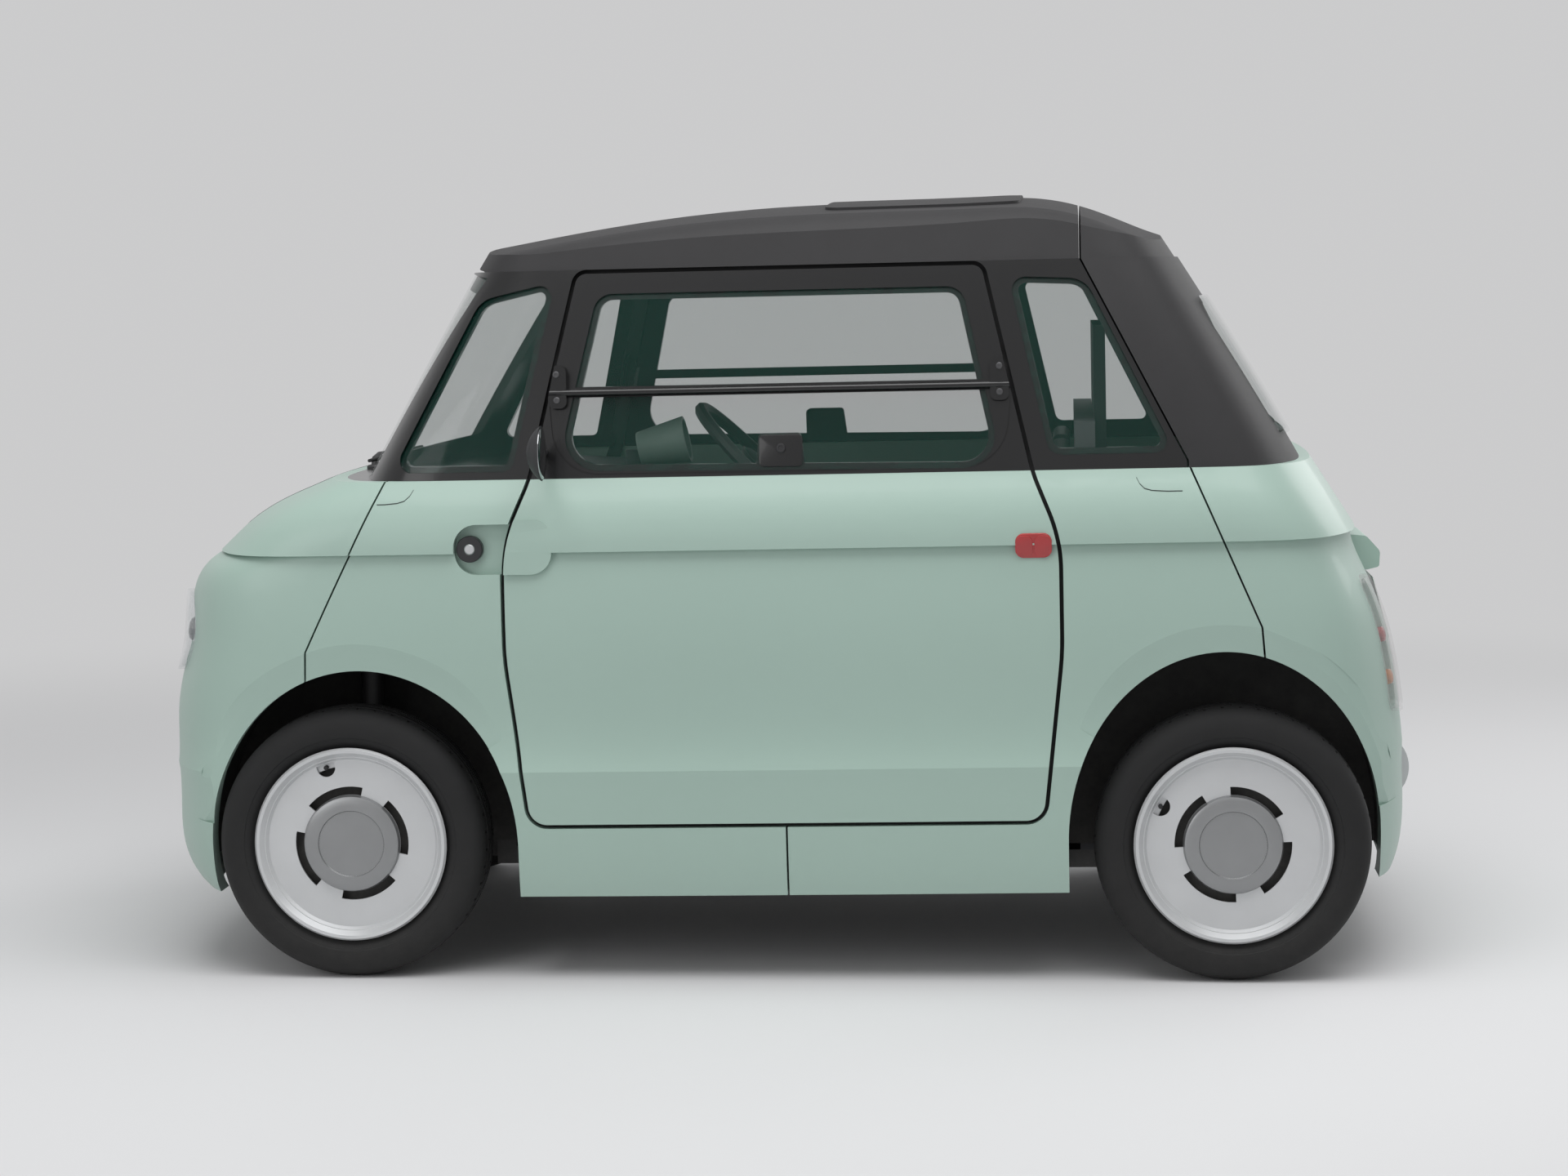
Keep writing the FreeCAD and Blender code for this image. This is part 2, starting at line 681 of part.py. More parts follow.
def floor_parts():
    pan = filling(box(-600, 640, -660, 660, 178, 214), PANEL_T)
    rails = []
    for side in (-1, 1):
        rails.append(filling(box(-1180, 1180, side * 260 - 40, side * 260 + 40, 190, 250), PANEL_T))
    bulkhead = filling(box(-600, -560, -700, 700, 214, 860), PANEL_T)
    nose = filling(box(-1215, -1180, -420, 420, 230, 400), PANEL_T + 2.0)
    tail = filling(box(1180, 1215, -420, 420, 230, 400), PANEL_T + 2.0)
    bearer = box(-900, -780, -290, 290, 250, 262)
    sockets = []
    bores = []
    for x0, x1 in ((-1236, -1180), (1180, 1236)):
        sockets.append(rod(x0, TOW_Y, TOW_Z, TOW_R + 7, x1 - x0, V(1, 0, 0)))
        bores.append(rod(x0 - 5, TOW_Y, TOW_Z, TOW_R, x1 - x0 + 10, V(1, 0, 0)))
    above_floor = box(-560, 600, -400, 400, 214, 260)
    frame = merge([pan, bulkhead, nose, tail, bearer] + rails + sockets).cut(above_floor)
    frame = wheel_room(frame, HOUSES, LINER_T)
    save("floor_pan", frame.cut(bores[0]).cut(bores[1]))
    back = box(600, 640, -700, 700, 214, 1080)
    shelf = box(640, 1060, -700, 700, 640, 670)
    rest = [V(640, y, z) for y, z in ((-400, 1000), (400, 1000), (380, 1262), (-380, 1262), (-400, 1000))]
    rest = Part.Face(Part.makePolygon(rest)).extrude(V(24, 0, 0))
    wall_ = merge([filling(back, PANEL_T), filling(shelf, PANEL_T), filling(back, FRAME_T, GLASS), rest])
    save("rear_bulkhead", wheel_room(wall_, HOUSES, LINER_T))
    save("battery_block", box(60, 560, -216, 216, 214, 400))
    save("motor_block", box(-980, -700, -170, 170, 262, 470))


def liners():
    parts = []
    for place in HOUSES:
        for side in (-1, 1):
            shell = well(place, side, LINER_T, AXLE_Z - 40).cut(well(place, side))
            parts.append(filling(shell, PANEL_T))
    save("arch_liners", parts)


def suspension():
    items = [box(FRONT_AXLE_X - 90, FRONT_AXLE_X + 90, -300, 300, 150, 190)]
    for side in (-1, 1):
        inner = V(FRONT_AXLE_X, side * 290, 170)
        items.append(Part.makeCylinder(16, 270, inner, V(0, side, -0.02)))
        items.append(rod(FRONT_AXLE_X, side * KINGPIN_Y, 160, KINGPIN_R, 60, V(0, 0, 1)))
        foot = V(FRONT_AXLE_X, side * 440, 168)
        lean = V(0, side * -0.07, 1)
        items.append(Part.makeCylinder(24, 458, foot, lean))
        items.append(Part.makeCylinder(42, 14, foot + lean * 190, lean))
    save("front_suspension", merge(items), False)
    parts = [rod(REAR_AXLE_X, -500, AXLE_Z, 34, 1000, V(0, 1, 0))]
    for side in (-1, 1):
        parts.append(rod(REAR_AXLE_X, side * 500, AXLE_Z, STUB_R, STUB_END - 500, V(0, side, 0)))
        parts.append(box(642, REAR_AXLE_X, side * 400 - 25, side * 400 + 25, 214, 262))
    save("rear_axle", merge(parts), False)


def knuckle(side, name):
    y = side * KINGPIN_Y
    upright = box(FRONT_AXLE_X - 38, FRONT_AXLE_X + 38, y - 20, y + 20, AXLE_Z - 80, AXLE_Z + 80)
    upright = upright.makeFillet(16, [e for e in upright.Edges if abs(e.tangentAt(e.FirstParameter).y) > 0.99])
    stub = rod(FRONT_AXLE_X, y, AXLE_Z, STUB_R, STUB_END - KINGPIN_Y, V(0, side, 0))
    socket = rod(FRONT_AXLE_X, y, AXLE_Z - 90, KINGPIN_R + BEARING_GAP, 44, V(0, 0, 1))
    save("knuckle_" + name, upright.fuse(stub).cut(socket), False)


def tyre_profile():
    """Section of the tyre as radius and offset along the axle."""
    h = TYRE_W / 2
    outer = [(RIM_R, h - 24), (COVER_R + 4, h - 14), (COVER_R + 16, h - 1), (COVER_R + 36, h),
             (TYRE_R - 16, h - 4), (TYRE_R, h - 26)]
    return [(r, -y) for r, y in outer] + outer[::-1]


def revolve_y(profile):
    """Turn a profile of radius and offset pairs about the axle."""
    points = [V(r, y, 0) for r, y in profile]
    face = Part.Face(Part.makePolygon(points + points[:1]))
    return face.revolve(V(0, 0, 0), V(0, 1, 0), 360)


def cover_cutters(h, turn):
    """Four slots round the cap and the valve opening, cut through the disc."""
    cutters = []
    for quarter in range(4):
        start = 78.0 + 90.0 * quarter + turn
        ring = Part.makeCylinder(SLOT_R, 12, V(0, 0, 0), V(0, 0, 1), 61)
        ring = ring.cut(Part.makeCylinder(CAP_R + 0.5, 12))
        ring.rotate(V(0, 0, 0), V(0, 0, 1), start)
        cutters.append(ring)
    valve = Part.makeCylinder(18.5, 12, V(DISC_R - 9, 0, 0)).fuse(Part.makeBox(14, 37, 12, V(DISC_R - 9, -18.5, 0)))
    valve = valve.common(Part.makeCylinder(DISC_R - 1, 12))
    valve.rotate(V(0, 0, 0), V(0, 0, 1), 108.0 + turn)
    cutters.append(valve)
    for cutter in cutters:
        cutter.rotate(V(0, 0, 0), V(1, 0, 0), 90)
        cutter.translate(V(0, h - 18, 0))
    return cutters


def wheel(x, side, name, turn):
    """Tyre and rim; positive offset is the outer face of the wheel."""
    place = V(x, side * WHEEL_Y, AXLE_Z)
    tyre = revolve_y([(r, side * y) for r, y in tyre_profile()])
    tyre.translate(place)
    save("tyre_" + name, tyre, False)
    h = TYRE_W / 2
    disc = h - 22
    barrel = [(RIM_R, -h + 20), (RIM_R, h - 14), (COVER_R - 2, h - 11), (COVER_R, h - 7), (COVER_R - 4, h - 2),
              (COVER_R - 10, h - 3), (DISC_R, disc), (CAP_R, disc), (CAP_R - 3, disc + 8),
              (CAP_R - 9, disc + 11), (CAP_FACE_R + 2, disc + 10), (CAP_FACE_R, disc + 7), (0, disc + 9),
              (0, h - 40), (STUB_R + BEARING_GAP, h - 40), (STUB_R + BEARING_GAP, h - 76), (HUB_R, h - 76),
              (HUB_R, h - 54), (RIM_R - RIM_WALL, h - 54), (RIM_R - RIM_WALL, -h + 20)]
    hollow = [(HUB_R + 12, disc - 5), (RIM_R - 18, disc - 5), (RIM_R - 18, h - 46), (HUB_R + 12, h - 46)]
    rim = revolve_y(barrel).cut(revolve_y(hollow))
    for cutter in cover_cutters(h, turn):
        rim = rim.cut(cutter)
    if side < 0:
        rim = mirror_y(rim)
    rim.translate(place)
    save("rim_" + name, rim, False)


def dashboard():
    shelf = outline([(-556, 700), (-330, 700), (-258, 862), (-326, 962), (-556, 976)], [6, 30, 34, 40, 6])
    board = filling(pushed(shelf, -560, 560), PANEL_T)
    foot = V(-284, -300, 1028)
    aim = V(0.982, 0, 0.19)
    hood = Part.makeCone(34, 47, 98, foot, aim).cut(Part.makeCylinder(41, 20, foot + aim * 84, aim))
    save("dashboard", merge([board, rod(-296, -300, 915, 18, 112, V(0, 0, 1)), hood]))


def steering():
    axis = V(0.72, 0, 0.69)
    axis.normalize()
    centre = V(-36, -300, 984)
    shaft_r = 10.0
    column = Part.makeCylinder(24, 300, centre - axis * 330, axis)
    column = column.cut(Part.makeCylinder(shaft_r + BEARING_GAP, 60, centre - axis * 82, axis))
    save("steering_column", column)
    section = []
    for i in range(8):
        a = math.radians(45 * i + 22.5)
        section.append(V(172 + 13 * math.cos(a), 0, 13 * math.sin(a)))
    ring = Part.Face(Part.makePolygon(section + section[:1])).revolve(V(0, 0, 0), V(0, 0, 1), 360)
    hub = Part.makeCone(46, 58, 30, V(0, 0, -24))
    shaft = Part.makeCylinder(shaft_r, 60, V(0, 0, -80))
    across = Part.makeBox(340, 38, 12, V(-170, -12, -14))
    down = Part.makeBox(34, 170, 12, V(-17, -170, -14))
    wheel_ = merge([ring, hub, shaft, across, down])
    wheel_.rotate(V(0, 0, 0), V(0, 0, 1), 90)
    wheel_.rotate(V(0, 0, 0), V(0, 1, 0), math.degrees(math.atan2(axis.x, axis.z)))
    wheel_.translate(centre)
    save("steering_wheel", wheel_)


def seats():
    frames = []
    cushions = []
    for side in (-1, 1):
        y0 = side * 290 - 200
        y1 = side * 290 + 200
        shell = pushed(outline([(94, 400), (568, 400), (592, 1024), (554, 1024), (526, 440), (94, 440)],
                               [10, 24, 16, 16, 18, 14]), y0, y1)
        leg = box(120, 560, side * 450 - 14, side * 450 + 14, 214, 400)
        frames.append(shell.fuse(leg))
        squab = outline([(98, 441), (516, 441), (512, 506), (98, 516)], [16, 16, 24, 26])
        rest = outline([(482, 510), (528, 512), (552, 1010), (508, 1010)], [16, 10, 14, 20])
        cushions.append(pushed(squab, y0 + 10, y1 - 10))
        cushions.append(pushed(rest, y0 + 16, y1 - 16))
    save("seat_frames", frames)
    save("seat_cushions", cushions)


def main():
    os.makedirs("parts", exist_ok=True)
    nose, tail = body_panels()
    nose, tail = lamps(nose, tail)
    end_panels(nose, tail)
    roof_parts(glass_parts())
    for side, name in ((-1, "left"), (1, "right")):
        door_parts(side, name)
        knuckle(side, name)
        wheel(FRONT_AXLE_X, side, "front_" + name, 0.0)
        wheel(REAR_AXLE_X, side, "rear_" + name, 44.0)
    floor_parts()
    liners()
    suspension()
    dashboard()
    steering()
    seats()
    carve("floor_pan", "front_side_panel_left")
    carve("dashboard", "cabin_frame", "floor_pan", "front_side_panel_left")
    carve("steering_column", "dashboard", "floor_pan")
    carve("rear_bulkhead", "cabin_frame", "rear_roof_shell", "floor_pan", "rear_side_panel_right")
    carve("front_suspension", "floor_pan", "motor_block")
    carve("arch_liners", "floor_pan", "rear_bulkhead", "rear_axle", "front_suspension")
    carve("rear_axle", "floor_pan")
    carve("rear_window", "cabin_frame", "tail_panel")
    write_nodes()


main()
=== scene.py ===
import json
import math

import bmesh
import bpy
from mathutils import Matrix, Vector


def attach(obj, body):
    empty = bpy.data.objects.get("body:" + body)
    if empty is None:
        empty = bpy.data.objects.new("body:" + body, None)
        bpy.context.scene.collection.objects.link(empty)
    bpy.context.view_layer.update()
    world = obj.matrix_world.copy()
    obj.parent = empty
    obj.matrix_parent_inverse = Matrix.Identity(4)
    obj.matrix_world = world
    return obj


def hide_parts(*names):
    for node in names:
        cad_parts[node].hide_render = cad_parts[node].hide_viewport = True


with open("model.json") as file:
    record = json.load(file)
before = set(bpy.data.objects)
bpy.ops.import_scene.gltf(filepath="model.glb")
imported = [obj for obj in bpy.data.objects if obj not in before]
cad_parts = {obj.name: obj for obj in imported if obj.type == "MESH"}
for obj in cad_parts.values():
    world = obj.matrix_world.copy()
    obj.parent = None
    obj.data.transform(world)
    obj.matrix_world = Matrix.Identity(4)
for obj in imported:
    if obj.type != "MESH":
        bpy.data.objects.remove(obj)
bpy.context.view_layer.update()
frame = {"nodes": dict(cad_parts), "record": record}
nodes = frame["nodes"]

# The body stands this much nose down on its wheels.
RAKE = math.radians(0.596)
RAKED = Matrix.Rotation(-RAKE, 4, "Y")
LEVEL = Matrix.Rotation(RAKE, 4, "Y")
# Half a turn about this line makes the right door and its fittings from the left ones.
TURNED_ROUND = Matrix.Translation((0.06, 0.0, 0.0)) @ Matrix.Rotation(math.pi, 4, "Z")
OTHER_HAND = Matrix.Scale(-1.0, 4, (0.0, 1.0, 0.0))
OUT_LEFT = (0.0, -1.0, 0.0)
AHEAD = (-1.0, 0.0, 0.0)
SIDES = ((-1, "left"), (1, "right"))


def clear_selection():
    """Leave edit mode with nothing selected or active."""
    if bpy.context.mode != "OBJECT":
        bpy.ops.object.mode_set(mode="OBJECT")
    bpy.ops.object.select_all(action="DESELECT")
    bpy.context.view_layer.objects.active = None


def pick(obj):
    """Make one object the only selected and active one."""
    clear_selection()
    obj.select_set(True)
    bpy.context.view_layer.objects.active = obj


def edit(piece):
    """Open one piece in edit mode."""
    pick(piece)
    bpy.ops.object.mode_set(mode="EDIT")


def turned(profile, steps, place, axis, closed=False):
    """Round piece drawn out ring by ring along its axis, from radius and height pairs in mm."""
    clear_selection()
    radius, height = profile[0]
    bpy.ops.mesh.primitive_circle_add(vertices=steps, radius=radius / 1000)
    piece = bpy.context.object
    bpy.ops.object.mode_set(mode="EDIT")
    bpy.ops.mesh.select_all(action="SELECT")
    bpy.ops.transform.translate(value=(0, 0, height / 1000))
    for new_radius, new_height in profile[1:]:
        rise = (new_height - height) / 1000
        bpy.ops.mesh.extrude_region_move(TRANSFORM_OT_translate={"value": (0, 0, rise)})
        grow = new_radius / radius
        bpy.ops.transform.resize(value=(grow, grow, 1), center_override=(0, 0, new_height / 1000))
        radius, height = new_radius, new_height
    bpy.ops.mesh.select_all(action="DESELECT")
    bpy.ops.mesh.select_non_manifold()
    if closed:
        bpy.ops.mesh.bridge_edge_loops()
    else:
        bpy.ops.mesh.fill_holes(sides=0)
    bpy.ops.object.mode_set(mode="OBJECT")
    turn = Vector(axis).to_track_quat("Z", "Y").to_matrix().to_4x4()
    settle(piece, Matrix.Translation(Vector(place) / 1000) @ turn)
    return piece


def settle(piece, change):
    """Write a move into the mesh and leave the object at the origin."""
    piece.data.transform(change @ piece.matrix_basis)
    piece.matrix_basis = Matrix.Identity(4)


def plate(size, corner, thick, place, normal, across, edge=0.8):
    """Flat plate with round corners and softened edges, sizes in mm."""
    clear_selection()
    bpy.ops.mesh.primitive_plane_add(size=0.001)
    piece = bpy.context.object
    bpy.ops.object.mode_set(mode="EDIT")
    bpy.ops.mesh.select_all(action="SELECT")
    bpy.ops.transform.resize(value=(size[0], size[1], 1))
    bpy.ops.mesh.bevel(offset=corner / 1000, segments=6, affect="VERTICES")
    bpy.ops.mesh.select_all(action="SELECT")
    bpy.ops.mesh.extrude_region_move(TRANSFORM_OT_translate={"value": (0, 0, thick / 1000)})
    bpy.ops.mesh.select_all(action="DESELECT")
    bpy.ops.mesh.select_non_manifold()
    bpy.ops.mesh.fill_holes(sides=0)
    bpy.ops.object.mode_set(mode="OBJECT")
    soften(piece, edge)
    z = Vector(normal).normalized()
    x = Vector(across).normalized()
    turn = Matrix((x, z.cross(x), z)).transposed().to_4x4()
    settle(piece, Matrix.Translation(Vector(place) / 1000) @ turn)
    return piece


def soften(piece, width):
    """Round the sharp edges of a piece, width in mm."""
    rounding = piece.modifiers.new("rounding", "BEVEL")
    rounding.width = width / 1000
    rounding.segments = 2
    rounding.limit_method = "ANGLE"
    rounding.angle_limit = math.radians(40)
    pick(piece)
    bpy.ops.object.modifier_apply(modifier=rounding.name)


def rod_through(points, radius, steps=16, radii=None):
    """Round bar drawn out from point to point, places in mm."""
    clear_selection()
    places = [Vector(p) / 1000 for p in points]
    ahead = places[1] - places[0]
    bpy.ops.mesh.primitive_circle_add(vertices=steps, radius=radius / 1000)
    piece = bpy.context.object
    settle(piece, Matrix.Translation(places[0]) @ ahead.to_track_quat("Z", "Y").to_matrix().to_4x4())
    pick(piece)
    bpy.ops.object.mode_set(mode="EDIT")
    bpy.ops.mesh.select_all(action="SELECT")
    last = radius
    for i in range(1, len(places)):
        step = places[i] - places[i - 1]
        bpy.ops.mesh.extrude_region_move(TRANSFORM_OT_translate={"value": step})
        if radii:
            grow = radii[i] / last
            bpy.ops.transform.resize(value=(grow, grow, grow), center_override=places[i])
            last = radii[i]
    bpy.ops.mesh.select_all(action="DESELECT")
    bpy.ops.mesh.select_non_manifold()
    bpy.ops.mesh.fill_holes(sides=0)
    bpy.ops.object.mode_set(mode="OBJECT")
    return piece


def press_onto(piece, target, axis):
    """Press a flat sheet onto a panel along one axis."""
    press = piece.modifiers.new("press", "SHRINKWRAP")
    press.target = target
    press.wrap_method = "PROJECT"
    press.use_project_x = axis == "X"
    press.use_project_y = axis == "Y"
    press.use_project_z = axis == "Z"
    press.use_negative_direction = True
    press.use_positive_direction = True
    pick(piece)
    bpy.ops.object.modifier_apply(modifier=press.name)


def thicken(piece, thick, outward):
    """Turn a sheet's faces outwards and grow it that way by its thickness in mm."""
    facing = sum((face.normal * face.area for face in piece.data.polygons), Vector())
    if facing.dot(Vector(outward)) < 0:
        piece.data.flip_normals()
    pick(piece)
    wall = piece.modifiers.new("wall", "SOLIDIFY")
    wall.thickness = thick / 1000
    wall.offset = 1.0
    bpy.ops.object.modifier_apply(modifier=wall.name)


def skin_at(node, x, z, side):
    """Place on the outer face of a side panel, from its x and z in mm."""
    start = RAKED @ Vector((x / 1000, side * 1.2, z / 1000))
    _, place, _, _ = nodes[node].ray_cast(start, Vector((0, -side, 0)))
    return LEVEL @ place * 1000


def lean_at(node, x, low, high):
    """Middle of a place on the left skin between two heights, and its upward and outward directions."""
    top = skin_at(node, x, high, -1)
    foot = skin_at(node, x, low, -1)
    up = (top - foot).normalized()
    return (top + foot) / 2, up, Vector((1, 0, 0)).cross(up).normalized()


def twin(piece, change):
    """Copy of a piece with its own mesh, moved to its place."""
    other = piece.copy()
    other.data = piece.data.copy()
    bpy.context.scene.collection.objects.link(other)
    other.data.transform(change)
    return other


def rake(piece):
    """Tip a piece forward with the body."""
    piece.data.transform(RAKED)


def keep(piece, name, material, body="body", raked=True, smooth=32.0):
    """Name a finished piece, dress it and hand it to the body that carries it."""
    piece.name = name
    piece.data.name = name
    if raked:
        rake(piece)
    piece.data.materials.clear()
    piece.data.materials.append(material)
    edit(piece)
    bpy.ops.mesh.select_all(action="SELECT")
    bpy.ops.mesh.remove_doubles(threshold=0.00001)
    bpy.ops.mesh.normals_make_consistent(inside=False)
    bpy.ops.object.mode_set(mode="OBJECT")
    bpy.ops.object.shade_smooth_by_angle(angle=math.radians(smooth))
    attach(piece, body)
    return piece


def new_group(name, inputs, outputs):
    """Empty shader group with its sockets, and its input and output nodes."""
    tree = bpy.data.node_groups.new(name, "ShaderNodeTree")
    for label, kind, value in inputs:
        socket = tree.interface.new_socket(label, in_out="INPUT", socket_type=kind)
        socket.default_value = value
    for label, kind in outputs:
        tree.interface.new_socket(label, in_out="OUTPUT", socket_type=kind)
    start = tree.nodes.new("NodeGroupInput")
    end = tree.nodes.new("NodeGroupOutput")
    return tree, start, end


def grain_group():
    """Fine moulded or lacquered grain: a normal and a mask from noise in metres."""
    tree, start, end = new_group("fine_grain", [
        ("Scale", "NodeSocketFloat", 900.0),
        ("Strength", "NodeSocketFloat", 0.2),
        ("Depth", "NodeSocketFloat", 0.0004),
    ], [("Normal", "NodeSocketVector"), ("Mask", "NodeSocketFloat")])
    place = tree.nodes.new("ShaderNodeTexCoord")
    noise = tree.nodes.new("ShaderNodeTexNoise")
    noise.inputs["Detail"].default_value = 4.0
    noise.inputs["Roughness"].default_value = 0.6
    bump = tree.nodes.new("ShaderNodeBump")
    link = tree.links.new
    link(place.outputs["Object"], noise.inputs["Vector"])
    link(start.outputs["Scale"], noise.inputs["Scale"])
    link(noise.outputs["Fac"], bump.inputs["Height"])
    link(start.outputs["Strength"], bump.inputs["Strength"])
    link(start.outputs["Depth"], bump.inputs["Distance"])
    link(bump.outputs["Normal"], end.inputs["Normal"])
    link(noise.outputs["Fac"], end.inputs["Mask"])
    return tree


def tone_group():
    """Slow colour drift over a panel, with light dust near the ground."""
    tree, start, end = new_group("tone_and_dust", [
        ("Colour", "NodeSocketColor", (0.5, 0.5, 0.5, 1.0)),
        ("Drift", "NodeSocketFloat", 0.06),
        ("Patch", "NodeSocketFloat", 3.0),
        ("Dust", "NodeSocketFloat", 0.0),
        ("Dust Colour", "NodeSocketColor", (0.23, 0.22, 0.2, 1.0)),
        ("Dust Top", "NodeSocketFloat", 0.5),
    ], [("Colour", "NodeSocketColor"), ("Mask", "NodeSocketFloat")])
    link = tree.links.new
    place = tree.nodes.new("ShaderNodeTexCoord")
    noise = tree.nodes.new("ShaderNodeTexNoise")
    noise.inputs["Detail"].default_value = 3.0
    link(place.outputs["Object"], noise.inputs["Vector"])
    link(start.outputs["Patch"], noise.inputs["Scale"])
    low = tree.nodes.new("ShaderNodeMath")
    low.operation = "SUBTRACT"
    low.inputs[0].default_value = 1.0
    link(start.outputs["Drift"], low.inputs[1])
    value = tree.nodes.new("ShaderNodeMapRange")
    link(noise.outputs["Fac"], value.inputs["Value"])
    link(low.outputs[0], value.inputs["To Min"])
    value.inputs["From Min"].default_value = 0.3
    value.inputs["From Max"].default_value = 0.7
    value.inputs["To Max"].default_value = 1.0
    shade = tree.nodes.new("ShaderNodeHueSaturation")
    link(start.outputs["Colour"], shade.inputs["Color"])
    link(value.outputs["Result"], shade.inputs["Value"])
    split = tree.nodes.new("ShaderNodeSeparateXYZ")
    link(place.outputs["Object"], split.inputs["Vector"])
    fall = tree.nodes.new("ShaderNodeMapRange")
    link(split.outputs["Z"], fall.inputs["Value"])
    link(start.outputs["Dust Top"], fall.inputs["From Max"])
    fall.inputs["To Min"].default_value = 1.0
    fall.inputs["To Max"].default_value = 0.0
    speck = tree.nodes.new("ShaderNodeTexNoise")
    speck.inputs["Scale"].default_value = 38.0
    speck.inputs["Detail"].default_value = 6.0
    speck.inputs["Roughness"].default_value = 0.7
    link(place.outputs["Object"], speck.inputs["Vector"])
    cover = tree.nodes.new("ShaderNodeMath")
    cover.operation = "MULTIPLY"
    link(fall.outputs["Result"], cover.inputs[0])
    link(speck.outputs["Fac"], cover.inputs[1])
    amount = tree.nodes.new("ShaderNodeMath")
    amount.operation = "MULTIPLY"
    amount.use_clamp = True
    link(cover.outputs[0], amount.inputs[0])
    link(start.outputs["Dust"], amount.inputs[1])
    mix = tree.nodes.new("ShaderNodeMix")
    mix.data_type = "RGBA"
    link(amount.outputs[0], mix.inputs["Factor"])
    link(shade.outputs["Color"], mix.inputs[6])
    link(start.outputs["Dust Colour"], mix.inputs[7])
    link(mix.outputs[2], end.inputs["Colour"])
    link(amount.outputs[0], end.inputs["Mask"])
    return tree


GRAIN = grain_group()
TONE = tone_group()
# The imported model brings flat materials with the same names, which this scene's own replace.
plain_materials = list(bpy.data.materials)
for material in plain_materials:
    material.name = "plain_" + material.name
finishes = {}


def finish_of(name, colour, roughness, metallic=0.0, drift=0.05, patch=3.0, dust=0.0, dust_top=0.5,
              grain=900.0, grain_strength=0.15, grain_depth=0.0004, coat=0.0, sheen=0.0, rough_spread=0.06):
    """One procedural finish: toned colour, grained normal and uneven roughness."""
    material = bpy.data.materials.new(name)
    finishes[name] = material
    material.use_nodes = True
    tree = material.node_tree
    link = tree.links.new
    shader = tree.nodes["Principled BSDF"]
    tone = tree.nodes.new("ShaderNodeGroup")
    tone.node_tree = TONE
    tone.inputs["Colour"].default_value = (*colour, 1.0)
    tone.inputs["Drift"].default_value = drift
    tone.inputs["Patch"].default_value = patch
    tone.inputs["Dust"].default_value = dust
    tone.inputs["Dust Top"].default_value = dust_top
    texture = tree.nodes.new("ShaderNodeGroup")
    texture.node_tree = GRAIN
    texture.inputs["Scale"].default_value = grain
    texture.inputs["Strength"].default_value = grain_strength
    texture.inputs["Depth"].default_value = grain_depth
    spread = tree.nodes.new("ShaderNodeMapRange")
    spread.inputs["To Min"].default_value = roughness - rough_spread
    spread.inputs["To Max"].default_value = roughness + rough_spread
    link(texture.outputs["Mask"], spread.inputs["Value"])
    link(tone.outputs["Colour"], shader.inputs["Base Color"])
    link(texture.outputs["Normal"], shader.inputs["Normal"])
    link(spread.outputs["Result"], shader.inputs["Roughness"])
    shader.inputs["Metallic"].default_value = metallic
    shader.inputs["Coat Weight"].default_value = coat
    shader.inputs["Sheen Weight"].default_value = sheen
    return material


def glass_of(name, tint, cover, roughness=0.03):
    """Thin tinted pane: a little of its own tint over what stands behind it."""
    material = finish_of(name, tint, roughness, drift=0.03, grain=260.0, grain_strength=0.02,
                         grain_depth=0.0001, rough_spread=roughness * 0.5)
    shader = material.node_tree.nodes["Principled BSDF"]
    shader.inputs["Alpha"].default_value = cover
    shader.inputs["Specular IOR Level"].default_value = 0.9
    return material


# The solids take theirs by slot name below; a finish with a variable also dresses pieces made here.
MINT = (0.36, 0.49, 0.43)
mint_paint = finish_of("mint_paint", MINT, 0.42, drift=0.03, patch=1.6, dust=0.12, dust_top=0.45,
                       grain=1400.0, grain_strength=0.06, coat=0.12)
finish_of("black_shell", (0.017, 0.0165, 0.018), 0.62, drift=0.12, patch=14.0,
          grain=1100.0, grain_strength=0.55, grain_depth=0.0006)
window_black = finish_of("window_black", (0.0055, 0.0055, 0.006), 0.24, drift=0.15, patch=8.0, grain=500.0,
                         grain_strength=0.04, coat=0.2)
glass_of("clear_glass", (0.012, 0.085, 0.062), 0.15)
chassis_black = finish_of("chassis_black", (0.028, 0.028, 0.03), 0.5, drift=0.2, patch=9.0, dust=0.5,
                          dust_top=0.6)
finish_of("cast_metal", (0.42, 0.42, 0.43), 0.48, metallic=0.9, drift=0.2, patch=22.0, dust=0.3,
          grain=520.0, grain_strength=0.4)
finish_of("motor_case", (0.48, 0.48, 0.49), 0.45, metallic=0.9, drift=0.15, patch=12.0, dust=0.3,
          grain=420.0, grain_strength=0.35)
finish_of("battery_case", (0.11, 0.11, 0.12), 0.5, drift=0.1, patch=8.0, dust=0.2)
finish_of("seat_shell", (0.05, 0.05, 0.055), 0.55, drift=0.1, patch=10.0, grain=800.0,
          grain_strength=0.4)
dash_plastic = finish_of("dash_plastic", (0.055, 0.055, 0.06), 0.6, drift=0.1, patch=10.0, grain=900.0,
                         grain_strength=0.45)
finish_of("wheel_rim_grip", (0.03, 0.03, 0.032), 0.5, drift=0.15, patch=30.0, grain=700.0,
          grain_strength=0.3)
tyre_rubber = finish_of("tyre_rubber", (0.008, 0.008, 0.0085), 0.8, drift=0.25, patch=18.0, dust=0.08,
                        dust_top=0.35, grain=1300.0, grain_strength=0.3)
finish_of("silver_cover", (0.60, 0.61, 0.62), 0.38, metallic=0.35, drift=0.05, patch=12.0, dust=0.06,
          grain=1800.0, grain_strength=0.05)
glass_of("lamp_lens", (0.62, 0.64, 0.66), 0.2)
glass_of("tail_lens", (0.58, 0.57, 0.57), 0.2)
